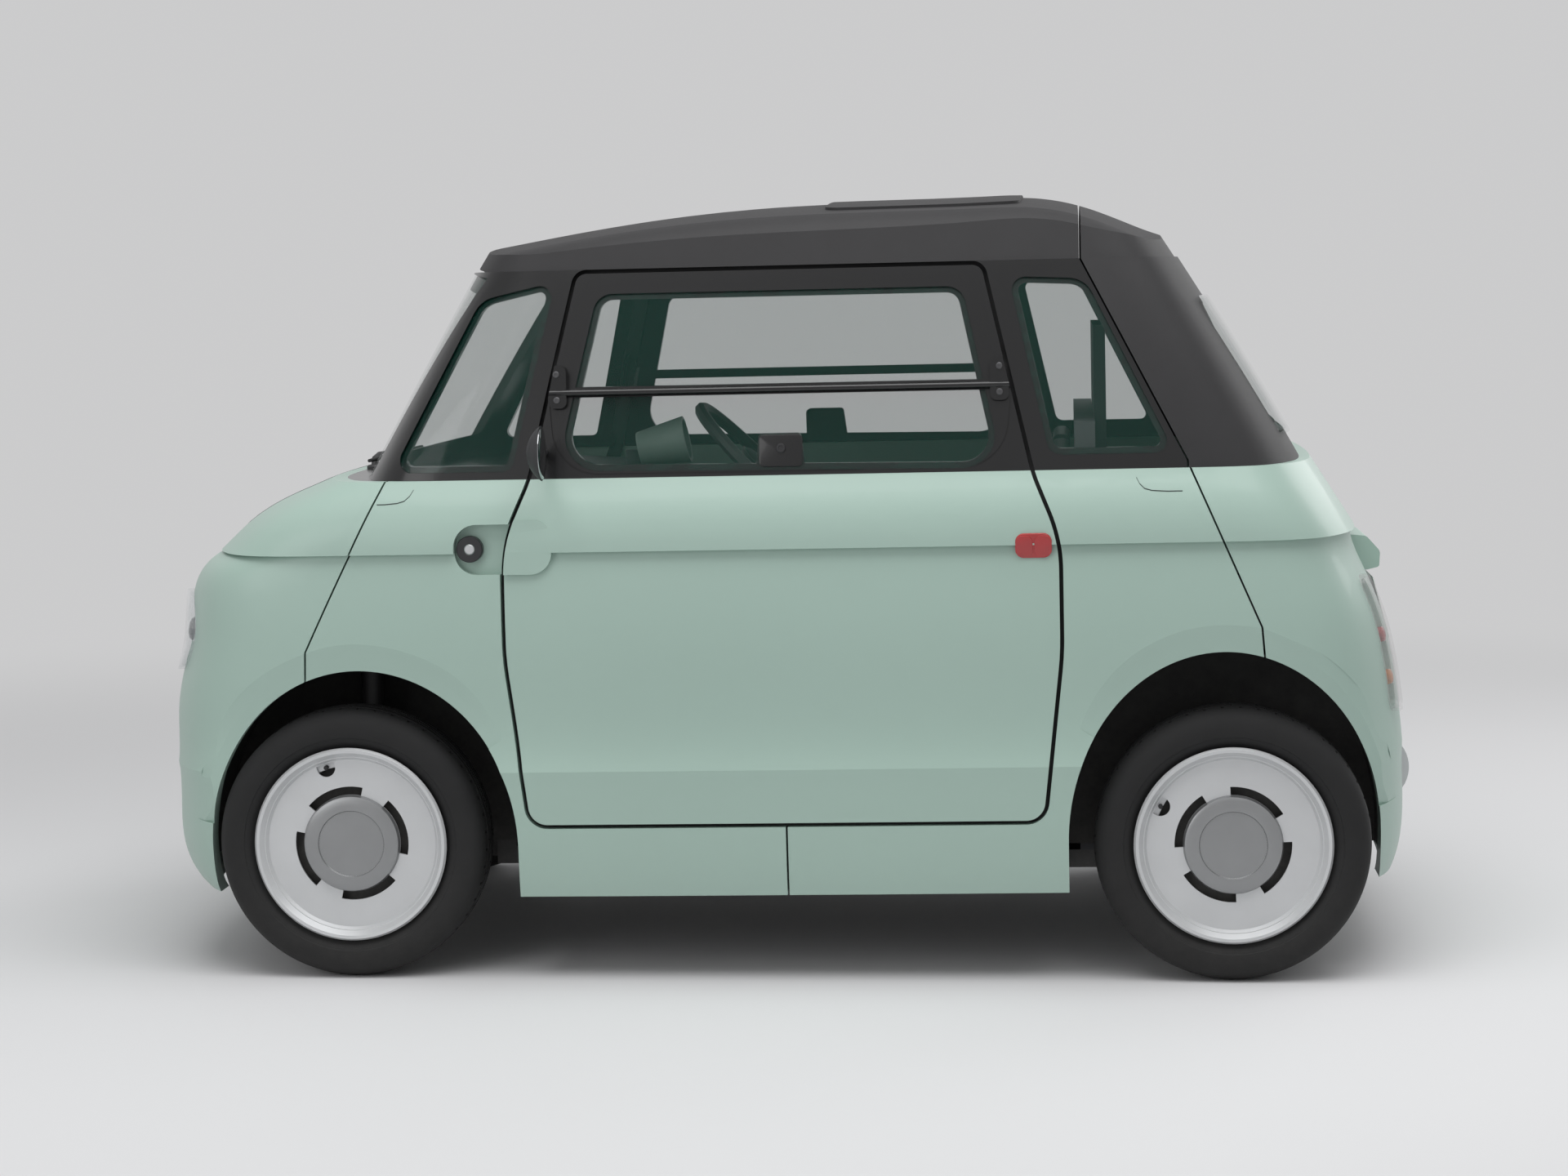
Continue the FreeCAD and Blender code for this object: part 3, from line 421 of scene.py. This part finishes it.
cap_grey = finish_of("cap_grey", (0.30, 0.305, 0.31), 0.34, metallic=0.7, drift=0.06, patch=16.0, dust=0.04,
                     grain=2000.0, grain_strength=0.05)
finish_of("guard_silver", (0.58, 0.59, 0.6), 0.36, metallic=0.5, drift=0.05, patch=10.0, dust=0.15)
liner_plastic = finish_of("liner_plastic", (0.022, 0.022, 0.023), 0.8, drift=0.3, patch=12.0, dust=0.5,
                          dust_top=0.8, grain=300.0, grain_strength=0.6)
mirror_black = finish_of("mirror_black", (0.028, 0.028, 0.03), 0.55, drift=0.1, patch=16.0, grain=1100.0,
                         grain_strength=0.45)
seat_cloth = finish_of("seat_cloth", (0.07, 0.07, 0.075), 0.85, drift=0.15, patch=20.0, grain=1500.0,
                       grain_strength=0.6, sheen=0.3)

chrome = finish_of("chrome", (0.80, 0.81, 0.82), 0.1, metallic=1.0, drift=0.02, grain=300.0,
                   grain_strength=0.03, rough_spread=0.03)
mirror_silver = finish_of("mirror_silver", (0.42, 0.43, 0.44), 0.03, metallic=1.0, drift=0.01, grain=200.0,
                          grain_strength=0.01, rough_spread=0.01)
red_reflector = finish_of("red_reflector", (0.42, 0.012, 0.014), 0.18, drift=0.1, patch=60.0, grain=2400.0,
                          grain_strength=0.5, grain_depth=0.0008, coat=0.8)
amber_lens = finish_of("amber_lens", (0.62, 0.20, 0.02), 0.2, drift=0.1, patch=60.0, grain=1800.0,
                       grain_strength=0.4, coat=0.7)
dark_glass = finish_of("dark_glass", (0.012, 0.013, 0.015), 0.08, drift=0.1, patch=30.0, grain=300.0,
                       grain_strength=0.02, coat=0.8, rough_spread=0.03)
black_rubber = finish_of("black_rubber", (0.02, 0.02, 0.021), 0.7, drift=0.2, patch=25.0, grain=900.0,
                         grain_strength=0.4, dust=0.1)
button_black = finish_of("button_black", (0.02, 0.02, 0.022), 0.4, drift=0.1, patch=40.0, grain=900.0,
                         grain_strength=0.15)
button_silver = finish_of("button_silver", (0.62, 0.63, 0.64), 0.3, metallic=0.8, drift=0.05, patch=60.0,
                          grain=2200.0, grain_strength=0.1)
zinc_bolt = finish_of("zinc_bolt", (0.12, 0.12, 0.125), 0.42, metallic=0.7, drift=0.2, patch=70.0,
                      grain=1500.0, grain_strength=0.3)
plate_blank = finish_of("plate_blank", (0.74, 0.74, 0.72), 0.35, drift=0.03, patch=20.0, grain=2600.0,
                        grain_strength=0.2, dust=0.08, coat=0.3)
floor_mat = finish_of("floor_mat", (0.035, 0.035, 0.037), 0.85, drift=0.2, patch=18.0, grain=420.0,
                      grain_strength=0.8, grain_depth=0.001)
# Dark mint for the seams: painted shade in the panel gaps, not a part of its own.
seam_shadow = finish_of("seam_shadow", (0.05, 0.065, 0.06), 0.8, drift=0.1, patch=12.0, grain=600.0)

for part in frame["record"]["subparts"]:
    if part["node"] in nodes:
        dressed = nodes[part["node"]].data.materials
        dressed.clear()
        dressed.append(finishes[part["material_slot"]])
# The window surrounds are glossier than the roof, whose slot they share.
for name in ("cabin_frame", "door_frame_left", "door_frame_right"):
    nodes[name].data.materials[0] = window_black
for material in plain_materials:
    bpy.data.materials.remove(material)


# Radius and distance from the middle plane of one half of the tyre's skin, from tread to bead.
TYRE_HALF = [
    (268.0, 3.2), (261.5, 3.8), (261.5, 9.0), (268.0, 9.8), (267.6, 24.0), (261.0, 24.8), (261.0, 31.0),
    (267.0, 31.8), (265.6, 45.0), (262.6, 55.0), (257.0, 63.5), (249.0, 70.5), (240.0, 74.6), (229.0, 76.8),
    (219.0, 76.9), (212.5, 76.0), (211.0, 74.2), (208.5, 73.6), (203.0, 70.4), (198.5, 66.0), (194.0, 61.5),
    (186.0, 57.5), (176.0, 54.0), (172.6, 52.0),
]
WHEEL_PLACES = {
    "front_left": (-836.5, -591.0, 0.0), "front_right": (-836.5, 591.0, 0.0),
    "rear_left": (891.5, -591.0, 44.0), "rear_right": (891.5, 591.0, 44.0),
}
AXLE_Z = 268.0
TYRE_STEPS = 288
# Cross grooves: distance from the middle plane and least radius of the faces they sink, in metres.
SHOULDER = (0.032, 0.050, 0.2625)
RIB = (0.0098, 0.0245, 0.266)
GROOVE_DEPTH = 0.0035


def tyre_pieces():
    """Road tyre with three grooves round it, cross grooves in the shoulders and moulded side rings."""
    profile = [(r, -y) for r, y in TYRE_HALF[::-1]] + TYRE_HALF
    model = turned(profile, TYRE_STEPS, (0, 0, 0), (0, 0, 1), closed=True)
    edit(model)
    bpy.ops.mesh.select_all(action="SELECT")
    bpy.ops.mesh.normals_make_consistent(inside=False)
    bpy.ops.mesh.select_mode(type="FACE")
    bpy.ops.mesh.select_all(action="DESELECT")
    mesh = bmesh.from_edit_mesh(model.data)
    for face in mesh.faces:
        middle = face.calc_center_median()
        reach = math.hypot(middle.x, middle.y)
        index = int(round(math.degrees(math.atan2(middle.y, middle.x)) / 360 * TYRE_STEPS - 0.5))
        side = 0 if middle.z < 0 else 3
        on_shoulder = SHOULDER[0] < abs(middle.z) < SHOULDER[1] and reach > SHOULDER[2]
        on_rib = RIB[0] < abs(middle.z) < RIB[1] and reach > RIB[2]
        if (on_shoulder and (index + side) % 6 == 0) or (on_rib and (index + side) % 12 == 3):
            face.select = True
    bmesh.update_edit_mesh(model.data)
    bpy.ops.mesh.extrude_region_shrink_fatten(TRANSFORM_OT_shrink_fatten={"value": -GROOVE_DEPTH})
    bpy.ops.mesh.select_mode(type="VERT")
    bpy.ops.object.mode_set(mode="OBJECT")
    upright = Matrix.Rotation(math.pi / 2, 4, "X")
    for name, (x, y, _) in WHEEL_PLACES.items():
        tyre = twin(model, Matrix.Translation((x / 1000, y / 1000, AXLE_Z / 1000)) @ upright)
        keep(tyre, "road_tyre_" + name, tyre_rubber, "wheel_" + name, raked=False, smooth=28.0)
        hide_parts("tyre_" + name)
    bpy.data.objects.remove(model)


def valve_stems():
    """Rubber valve in the opening of each wheel cover."""
    stem = [(5.8, 33), (5.8, 40), (4.4, 43), (4.4, 57), (3.6, 59.5), (1.5, 60)]
    for name, (x, y, turn) in WHEEL_PLACES.items():
        angle = math.radians(108.0 + turn)
        place = (x + 158 * math.cos(angle), y, AXLE_Z + 158 * math.sin(angle))
        valve = turned(stem, 20, place, (0, math.copysign(1, y), 0))
        keep(valve, "valve_stem_" + name, black_rubber, "wheel_" + name, raked=False)


def wheel_covers():
    """Darker satin hub cap, and the black hollow behind the slots of each wheel cover."""
    skin = [(90, 56), (96.6, 55.2), (93.6, 63.5), (87.2, 66.6), (66.2, 65.6), (64.4, 62.6), (30, 63.4),
            (1.5, 64.6)]
    for name, (x, y, _) in WHEEL_PLACES.items():
        out = (0, math.copysign(1, y), 0)
        cap = turned(skin, 96, (x, y, AXLE_Z), out)
        keep(cap, "hub_cap_" + name, cap_grey, "wheel_" + name, raked=False)
        back = turned([(62, 31.4), (152, 31.4), (152, 33), (62, 33)], 96, (x, y, AXLE_Z), out, closed=True)
        keep(back, "cover_hollow_" + name, liner_plastic, "wheel_" + name, raked=False)


def latch_buttons():
    """Black button with a bright centre in the recess beside each door."""
    collar = turned([(25.8, 669), (25.8, 684.6), (24.4, 686.4), (11.4, 686.4), (10.4, 685.4), (10.4, 682.6)],
                    48, (-574, 0, 858), OUT_LEFT, closed=True)
    centre = turned([(10.1, 682.4), (10.1, 684.8), (8.8, 685.8), (1.5, 686.1)], 36, (-574, 0, 858), OUT_LEFT)
    keep(twin(collar, TURNED_ROUND), "latch_button_right", button_black)
    keep(twin(centre, TURNED_ROUND), "latch_button_centre_right", button_silver)
    keep(collar, "latch_button_left", button_black)
    keep(centre, "latch_button_centre_left", button_silver)


# Name, shift along the door, width, height, corner, depth, and how far it stands off the skin.
REFLECTOR_PARTS = [
    ("reflector_cell_front", -18.2, 33.6, 43, 13, 13, 6.2),
    ("reflector_cell_rear", 18.2, 33.6, 43, 13, 13, 6.2),
    ("reflector_base", 0, 71, 49, 17, 12, 4.6),
]


def door_reflectors():
    """Red reflector with a raised rim and two cells, on the hinged end of each door."""
    middle, _, out = lean_at("door_panel_left", 519, 829, 869)
    for name, shift, wide, high, corner, deep, proud in REFLECTOR_PARTS:
        place = middle - out * (deep - proud) + Vector((shift, 0, 0))
        piece = plate((wide, high), corner, deep, place, out, (1, 0, 0), edge=1.6)
        keep(twin(piece, TURNED_ROUND), name + "_right", red_reflector, "door_right")
        keep(piece, name + "_left", red_reflector, "door_left")


# Front half of the line just outside the door, from sill to roof, x and z in mm.
DOOR_LINE = [(-489, 296), (-527, 640), (-527, 864), (-476, 989), (-381, 1405)]
SKIN_NODES = ("door_panel_", "door_frame_", "front_side_panel_", "rear_side_panel_")
SEAL_WIDTH = 0.031
SEAL_DEPTH = 0.027


def joined_skin(name):
    """One copy of the outer panels round a door, to press its seal onto."""
    clear_selection()
    for node in [start + name for start in SKIN_NODES] + ["cabin_frame", "roof_panel"]:
        nodes[node].select_set(True)
    bpy.context.view_layer.objects.active = nodes["cabin_frame"]
    bpy.ops.object.duplicate()
    bpy.ops.object.join()
    skin = bpy.context.object
    clear_selection()
    return skin


def door_seals():
    """Rubber ring on the body, behind the gap round each door."""
    line = DOOR_LINE + [(60 - x, z) for x, z in DOOR_LINE[::-1]]
    for side, name in SIDES:
        skin = joined_skin(name)
        bpy.ops.mesh.primitive_circle_add(vertices=len(line), radius=1.0)
        ring = bpy.context.object
        for vertex, (x, z) in zip(ring.data.vertices, line):
            vertex.co = (x / 1000, side * 0.95, z / 1000)
        bpy.ops.object.mode_set(mode="EDIT")
        bpy.ops.mesh.select_all(action="SELECT")
        bpy.ops.mesh.subdivide(number_cuts=9)
        bpy.ops.mesh.select_all(action="SELECT")
        bpy.ops.mesh.edge_face_add()
        bpy.ops.mesh.inset(thickness=SEAL_WIDTH)
        bpy.ops.mesh.delete(type="FACE")
        bpy.ops.object.mode_set(mode="OBJECT")
        rake(ring)
        press_onto(ring, skin, "Y")
        for vertex in ring.data.vertices:
            # A point that missed the skin takes the flank's usual lean instead.
            lean = 0.66 - max(0.0, vertex.co.z - 1.0) * 0.36
            missed = abs(vertex.co.y) < lean - 0.1 or abs(vertex.co.y) > 0.74 or vertex.co.y * side < 0
            vertex.co.y = side * (lean if missed else abs(vertex.co.y) - SEAL_DEPTH)
        thicken(ring, 4.0, (0, side, 0))
        keep(ring, "door_seal_" + name, black_rubber, raked=False, smooth=50.0)
        bpy.data.objects.remove(skin)


def window_fittings():
    """Lock of the flap window on its black plate, and the screws of its brackets, on both doors."""
    middle, up, out = lean_at("door_glass_left", 34, 1012, 1062)
    lock_plate = plate((84, 62), 9, 5.5, middle - out * 3.5, out, (1, 0, 0), edge=0.6)
    keep(twin(lock_plate, TURNED_ROUND), "lock_plate_right", window_black, "door_right")
    keep(lock_plate, "lock_plate_left", window_black, "door_left")
    knob = turned([(9.5, 0), (9.5, 4.6), (8.2, 6.2), (5.2, 6.4), (4.8, 5.0), (1.5, 5.0)],
                  36, middle + up * 4, out)
    keep(twin(knob, TURNED_ROUND), "flap_knob_right", button_black, "door_right")
    keep(knob, "flap_knob_left", button_black, "door_left")
    for number, (x, z) in enumerate(((-402, 1192), (-402, 1142), (458, 1192), (458, 1142))):
        screw = turned([(6.5, -1.5), (6.5, 2.6), (5.4, 3.8), (3.4, 4.0), (3.1, 2.6), (1.2, 2.5)],
                       24, (x, -634, z), OUT_LEFT)
        keep(twin(screw, OTHER_HAND), "bracket_screw_right_%d" % number, zinc_bolt, "door_right")
        keep(screw, "bracket_screw_left_%d" % number, zinc_bolt, "door_left")


def mirror_faces():
    """Convex silvered glass in each round mirror."""
    glass = turned([(50, 0.3), (50, 1.6), (48.6, 2.4), (34, 3.2), (17, 3.7), (1.5, 3.9)],
                   64, (-418, -745, 1045), (1, 0, 0))
    keep(twin(glass, OTHER_HAND), "mirror_face_right", mirror_silver, "door_right")
    keep(glass, "mirror_face_left", mirror_silver, "door_left")


# Radius of each ring of the bowl, and how far it stands off the nose, in mm.
BOWL_RINGS = {70: 9, 66: 9, 60: 1, 46: 1, 34: 2, 27: 8, 22: 12, 12: 14, 3: 14}


def lamp_insides():
    """Bright bowl with a dark centre behind each headlamp lens."""
    for side, name in SIDES:
        bowl = turned([(radius, 0) for radius in BOWL_RINGS], 64, (-1350, side * 470, 690), AHEAD)
        rake(bowl)
        points = bowl.data.vertices
        middle = sum((point.co for point in points), Vector()) / len(points)
        reach = [math.hypot(point.co.y - middle.y, point.co.z - middle.z) * 1000 for point in points]
        press_onto(bowl, nodes["nose_panel"], "X")
        for point, radius in zip(bowl.data.vertices, reach):
            nearest = min(BOWL_RINGS, key=lambda ring: abs(ring - radius))
            point.co.x -= BOWL_RINGS[nearest] / 1000
        thicken(bowl, 2.0, AHEAD)
        keep(bowl, "headlamp_bowl_" + name, chrome, raked=False, smooth=40.0)
        eye = turned([(24, -13), (24, -2), (20, 3), (12, 6), (1.5, 7)], 48,
                     (-1186, side * 470, 690), (-1, side * 0.26, 0.15))
        keep(eye, "headlamp_eye_" + name, dark_glass)


def tail_lamp_insides():
    """Bright back plate with a small red and a small amber lamp behind each tail lens."""
    for side, name in SIDES:
        clear_selection()
        bpy.ops.mesh.primitive_grid_add(x_subdivisions=20, y_subdivisions=4, size=1)
        back = bpy.context.object
        upright = Matrix.Rotation(math.pi / 2, 4, "Y") @ Matrix.Diagonal((0.236, 0.044, 1, 1))
        back.data.transform(Matrix.Translation((1.35, side * 0.468, 0.629)) @ upright)
        rake(back)
        press_onto(back, nodes["tail_panel"], "X")
        thicken(back, 2.5, (1, 0, 0))
        keep(back, "tail_lamp_back_" + name, chrome, raked=False)
        for label, z, x, finish in (("red", 650, 1225, red_reflector), ("amber", 566, 1239, amber_lens)):
            cup = turned([(15, -44), (15, -27), (13, -24), (7, -22), (1.5, -21.6)], 40, (x, side * 468, z),
                         (1, side * 0.26, 0.2))
            keep(cup, "tail_lamp_%s_%s" % (label, name), finish)


# Seams of the small flaps at the upper corners of the side panels, x and z in mm.
FRONT_FLAP = [(-756, 947), (-740, 947), (-716, 949), (-702, 953), (-692, 962), (-685, 974)]
REAR_FLAP = [(804, 947), (776, 947), (746, 949), (732, 953), (723, 962), (717, 974)]


def plate_and_lids():
    """Blank rear plate, and painted shade along the seam of the front service lid and the seams of the small
    flaps below the belt.
    """
    number = plate((240, 130), 10, 2.2, (1226, 0, 662), (0.97, 0, 0.242), (0, 1, 0))
    keep(number, "rear_number_plate", plate_blank)
    # The lid's seam is a thin dark mint strip laid on the nose: painted shade in the gap.
    clear_selection()
    bpy.ops.mesh.primitive_plane_add(size=1)
    seam = bpy.context.object
    bpy.ops.object.mode_set(mode="EDIT")
    bpy.ops.mesh.select_all(action="SELECT")
    bpy.ops.transform.resize(value=(0.175, 0.86, 1))
    bpy.ops.mesh.bevel(offset=0.045, segments=8, affect="VERTICES")
    bpy.ops.mesh.select_all(action="SELECT")
    bpy.ops.mesh.inset(thickness=0.0035)
    bpy.ops.mesh.delete(type="FACE")
    bpy.ops.mesh.select_all(action="SELECT")
    bpy.ops.mesh.subdivide(number_cuts=7)
    bpy.ops.object.mode_set(mode="OBJECT")
    settle(seam, Matrix.Translation((-0.9925, 0, 1.2)))
    rake(seam)
    press_onto(seam, nodes["nose_panel"], "Z")
    thicken(seam, 0.7, (0, 0, 1))
    keep(seam, "front_lid_seam", seam_shadow, raked=False)
    # The flap seams are thin dark mint rods on the skin: painted shade in the gaps.
    for side, hand in SIDES:
        for end, places in (("front", FRONT_FLAP), ("rear", REAR_FLAP)):
            points = [skin_at(end + "_side_panel_" + hand, x, z, side) for x, z in places]
            keep(rod_through(points, 1.1, 8), "flap_seam_%s_%s" % (end, hand), seam_shadow)


def wiper():
    """One arm with its blade, parked along the foot of the windscreen."""
    blade = rod_through([(-840, -330, 1016), (-847, -150, 1014), (-849, -40, 1013), (-848, 100, 1014),
                         (-843, 250, 1016)], 3.5, 12, [3.5, 5.5, 6.5, 5.5, 3.5])
    keep(blade, "wiper_blade", black_rubber)
    arm = rod_through([(-868, -150, 992), (-866, -140, 1012), (-862, -110, 1021), (-856, -40, 1021)], 7, 14,
                      [9, 8, 6, 5])
    keep(arm, "wiper_arm", mirror_black)
    spindle = turned([(15, -10), (15, 3), (12, 6), (7, 7), (1.5, 7.2)], 32, (-868, -150, 992), (0, 0, 1))
    keep(spindle, "wiper_spindle", mirror_black)


def cockpit():
    """Mint shell and dark face of the instrument pod, horn pad, stalks, pedals and mats."""
    foot = (-284, -300, 1028)
    aim = (0.982, 0, 0.19)
    shell = turned([(1.5, -1.4), (33.0, -1.4), (35.2, 0.8), (47.9, 97.4), (47.2, 99.0), (42.0, 99.2),
                    (40.4, 98.0), (40.4, 84.6)], 72, foot, aim, closed=True)
    keep(shell, "instrument_shell", mint_paint)
    face = turned([(40.2, 84.3), (40.2, 86.2), (38.6, 87.0), (20, 87.4), (1.5, 87.6)], 64, foot, aim)
    keep(face, "instrument_face", dark_glass)
    column = (0.722, 0, 0.692)
    pad = turned([(52, 5.0), (52, 8.0), (47, 12.0), (30, 15.0), (14, 16.4), (1.5, 16.8)],
                 56, (-36, -300, 984), column)
    keep(pad, "horn_pad", dash_plastic, "steering_wheel")
    for side, name in SIDES:
        stalk = rod_through([(-118, -300 + side * 20, 906), (-100, -300 + side * 70, 918),
                             (-92, -300 + side * 120, 924), (-90, -300 + side * 136, 926)],
                            5, 14, [7, 5, 6, 5])
        keep(stalk, "column_stalk_" + name, button_black)
    for name, y, wide in (("brake", -345, 70), ("throttle", -255, 50)):
        pad = plate((wide, 84), 10, 7, (-532, y, 318), (0.86, 0, 0.5), (0, 1, 0), edge=1.5)
        keep(pad, name + "_pedal", black_rubber)
        arm = rod_through([(-536, y, 322), (-548, y, 420), (-556, y, 560)], 7, 12)
        keep(arm, name + "_pedal_arm", chassis_black)
    for name, y in (("driver", -300), ("passenger", 300)):
        mat = plate((420, 400), 36, 7, (-300, y, 214.6), (0, 0, 1), (1, 0, 0), edge=2.0)
        keep(mat, name + "_floor_mat", floor_mat)


def pad_block(size, rounding, place, lean):
    """Foam block with round edges, on an even fine mesh."""
    clear_selection()
    bpy.ops.mesh.primitive_cube_add(size=0.001)
    pad = bpy.context.object
    bpy.ops.object.mode_set(mode="EDIT")
    bpy.ops.mesh.select_all(action="SELECT")
    bpy.ops.transform.resize(value=size)
    bpy.ops.mesh.bevel(offset=rounding / 1000, segments=4, affect="EDGES")
    bpy.ops.object.mode_set(mode="OBJECT")
    settle(pad, Matrix.Translation(Vector(place) / 1000) @ Matrix.Rotation(math.radians(lean), 4, "Y"))
    remesh = pad.modifiers.new("even", "REMESH")
    remesh.mode = "VOXEL"
    remesh.voxel_size = 0.006
    pick(pad)
    bpy.ops.object.modifier_apply(modifier=remesh.name)
    return pad


def plump(pad, cap):
    """Fill a pad as cloth for twenty steps, then hold each point near its start."""
    scene = bpy.context.scene
    start = [v.co.copy() for v in pad.data.vertices]
    cover = pad.modifiers.new("cover", "CLOTH")
    cover.settings.use_pressure = True
    cover.settings.uniform_pressure_force = 4.0
    cover.settings.effector_weights.gravity = 0.0
    cover.point_cache.frame_start = 1
    cover.point_cache.frame_end = 20
    for step in range(1, 21):
        scene.frame_set(step)
    pick(pad)
    bpy.ops.object.modifier_apply(modifier=cover.name)
    scene.frame_set(1)
    for vertex, place in zip(pad.data.vertices, start):
        move = vertex.co - place
        if move.length > cap / 1000:
            vertex.co = place + move * (cap / 1000 / move.length)


def seat_pads():
    """Upholstered squab and back pad of both seats."""
    squab = pad_block((396, 356, 56), 20, (308, -290, 476), 1.3)
    rest = pad_block((34, 352, 476), 14, (518, -290, 762), 2.9)
    plump(squab, 8)
    plump(rest, 6)
    clear_selection()
    squab.select_set(True)
    rest.select_set(True)
    bpy.context.view_layer.objects.active = squab
    bpy.ops.object.join()
    other = twin(squab, OTHER_HAND)
    clear_selection()
    other.select_set(True)
    squab.select_set(True)
    bpy.context.view_layer.objects.active = squab
    bpy.ops.object.join()
    keep(squab, "seat_pads", seat_cloth, smooth=60.0)
    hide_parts("seat_cushions")


tyre_pieces()
wheel_covers()
valve_stems()
latch_buttons()
door_reflectors()
door_seals()
window_fittings()
mirror_faces()
lamp_insides()
tail_lamp_insides()
plate_and_lids()
wiper()
cockpit()
seat_pads()


BACKDROP = (0.60, 0.60, 0.605, 1.0)


def studio_floor():
    """Pale floor that the car stands on."""
    clear_selection()
    bpy.ops.mesh.primitive_plane_add(size=60.0, location=(0, 0, 0))
    floor = bpy.context.object
    floor.name = "studio_floor"
    paint = finish_of("floor_pale", (0.72, 0.72, 0.73), 0.75, drift=0.02, patch=0.4, grain=60.0,
                      grain_strength=0.02, rough_spread=0.03)
    fade_out(paint)
    floor.data.materials.append(paint)


def seen_directly(tree):
    """Light Path mask: camera, mirror and glass rays."""
    path = tree.nodes.new("ShaderNodeLightPath")
    first = tree.nodes.new("ShaderNodeMath")
    first.operation = "MAXIMUM"
    second = tree.nodes.new("ShaderNodeMath")
    second.operation = "MAXIMUM"
    tree.links.new(path.outputs["Is Camera Ray"], first.inputs[0])
    tree.links.new(path.outputs["Is Transmission Ray"], first.inputs[1])
    tree.links.new(first.outputs[0], second.inputs[0])
    tree.links.new(path.outputs["Is Glossy Ray"], second.inputs[1])
    return second.outputs[0]


def fade_out(paint):
    """Let the floor run into the backdrop colour some metres away from the car."""
    tree = paint.node_tree
    link = tree.links.new
    place = tree.nodes.new("ShaderNodeTexCoord")
    away = tree.nodes.new("ShaderNodeVectorMath")
    away.operation = "LENGTH"
    link(place.outputs["Object"], away.inputs[0])
    fade = tree.nodes.new("ShaderNodeMapRange")
    fade.interpolation_type = "SMOOTHSTEP"
    fade.inputs["From Min"].default_value = 1.8
    fade.inputs["From Max"].default_value = 6.5
    link(away.outputs["Value"], fade.inputs["Value"])
    seen = tree.nodes.new("ShaderNodeMath")
    seen.operation = "MULTIPLY"
    link(fade.outputs["Result"], seen.inputs[0])
    link(seen_directly(tree), seen.inputs[1])
    far = tree.nodes.new("ShaderNodeEmission")
    far.inputs["Color"].default_value = BACKDROP
    mix = tree.nodes.new("ShaderNodeMixShader")
    link(seen.outputs[0], mix.inputs["Fac"])
    link(tree.nodes["Principled BSDF"].outputs[0], mix.inputs[1])
    link(far.outputs[0], mix.inputs[2])
    link(mix.outputs[0], tree.nodes["Material Output"].inputs["Surface"])


def area_lamp(name, place, aim, size, power):
    """Rectangular lamp at a place in metres, turned towards its aim."""
    data = bpy.data.lights.new(name, "AREA")
    data.shape = "RECTANGLE"
    data.size = size[0]
    data.size_y = size[1]
    data.energy = power
    lamp = bpy.data.objects.new(name, data)
    bpy.context.scene.collection.objects.link(lamp)
    lamp.location = place
    lamp.rotation_euler = (Vector(aim) - Vector(place)).to_track_quat("-Z", "Y").to_euler()


def studio_light():
    """Even grey surroundings and the lamps."""
    world = bpy.data.worlds.new("studio_world")
    bpy.context.scene.world = world
    world.use_nodes = True
    tree = world.node_tree
    tree.nodes.clear()
    link = tree.links.new
    light = tree.nodes.new("ShaderNodeBackground")
    light.inputs["Color"].default_value = (0.975, 0.98, 0.985, 1.0)
    light.inputs["Strength"].default_value = 0.46
    shown = tree.nodes.new("ShaderNodeBackground")
    shown.inputs["Color"].default_value = BACKDROP
    choose = tree.nodes.new("ShaderNodeMixShader")
    link(seen_directly(tree), choose.inputs["Fac"])
    link(light.outputs[0], choose.inputs[1])
    link(shown.outputs[0], choose.inputs[2])
    out = tree.nodes.new("ShaderNodeOutputWorld")
    link(choose.outputs[0], out.inputs["Surface"])
    area_lamp("key_above", (0.4, -1.6, 4.6), (0.0, 0.0, 0.6), (5.0, 3.4), 165.0)
    area_lamp("fill_left", (-3.4, -4.6, 2.2), (0.0, 0.0, 0.7), (3.0, 2.2), 34.0)
    area_lamp("fill_right", (3.6, 3.2, 2.6), (0.0, 0.0, 0.7), (3.0, 2.2), 44.0)


def photo_camera():
    """Camera fitted to the photo by least squares: place in metres, turn and lens."""
    yaw = math.radians(4.89)
    pitch = math.radians(-5.27)
    roll = math.radians(-0.72)
    ahead = Vector((-math.sin(yaw) * math.cos(pitch), math.cos(yaw) * math.cos(pitch), math.sin(pitch)))
    right = ahead.cross(Vector((0, 0, 1))).normalized()
    up = right.cross(ahead)
    right_rolled = right * math.cos(roll) + up * math.sin(roll)
    up_rolled = up * math.cos(roll) - right * math.sin(roll)
    data = bpy.data.cameras.new("photo_camera")
    data.sensor_width = 36.0
    data.lens = 77.1
    camera = bpy.data.objects.new("photo_camera", data)
    bpy.context.scene.collection.objects.link(camera)
    turn = Matrix((right_rolled, up_rolled, -ahead)).transposed().to_4x4()
    camera.matrix_world = Matrix.Translation((0.5795, -7.112, 1.369)) @ turn
    bpy.context.scene.camera = camera


studio_floor()
studio_light()
photo_camera()
bpy.context.scene.view_settings.view_transform = "Standard"
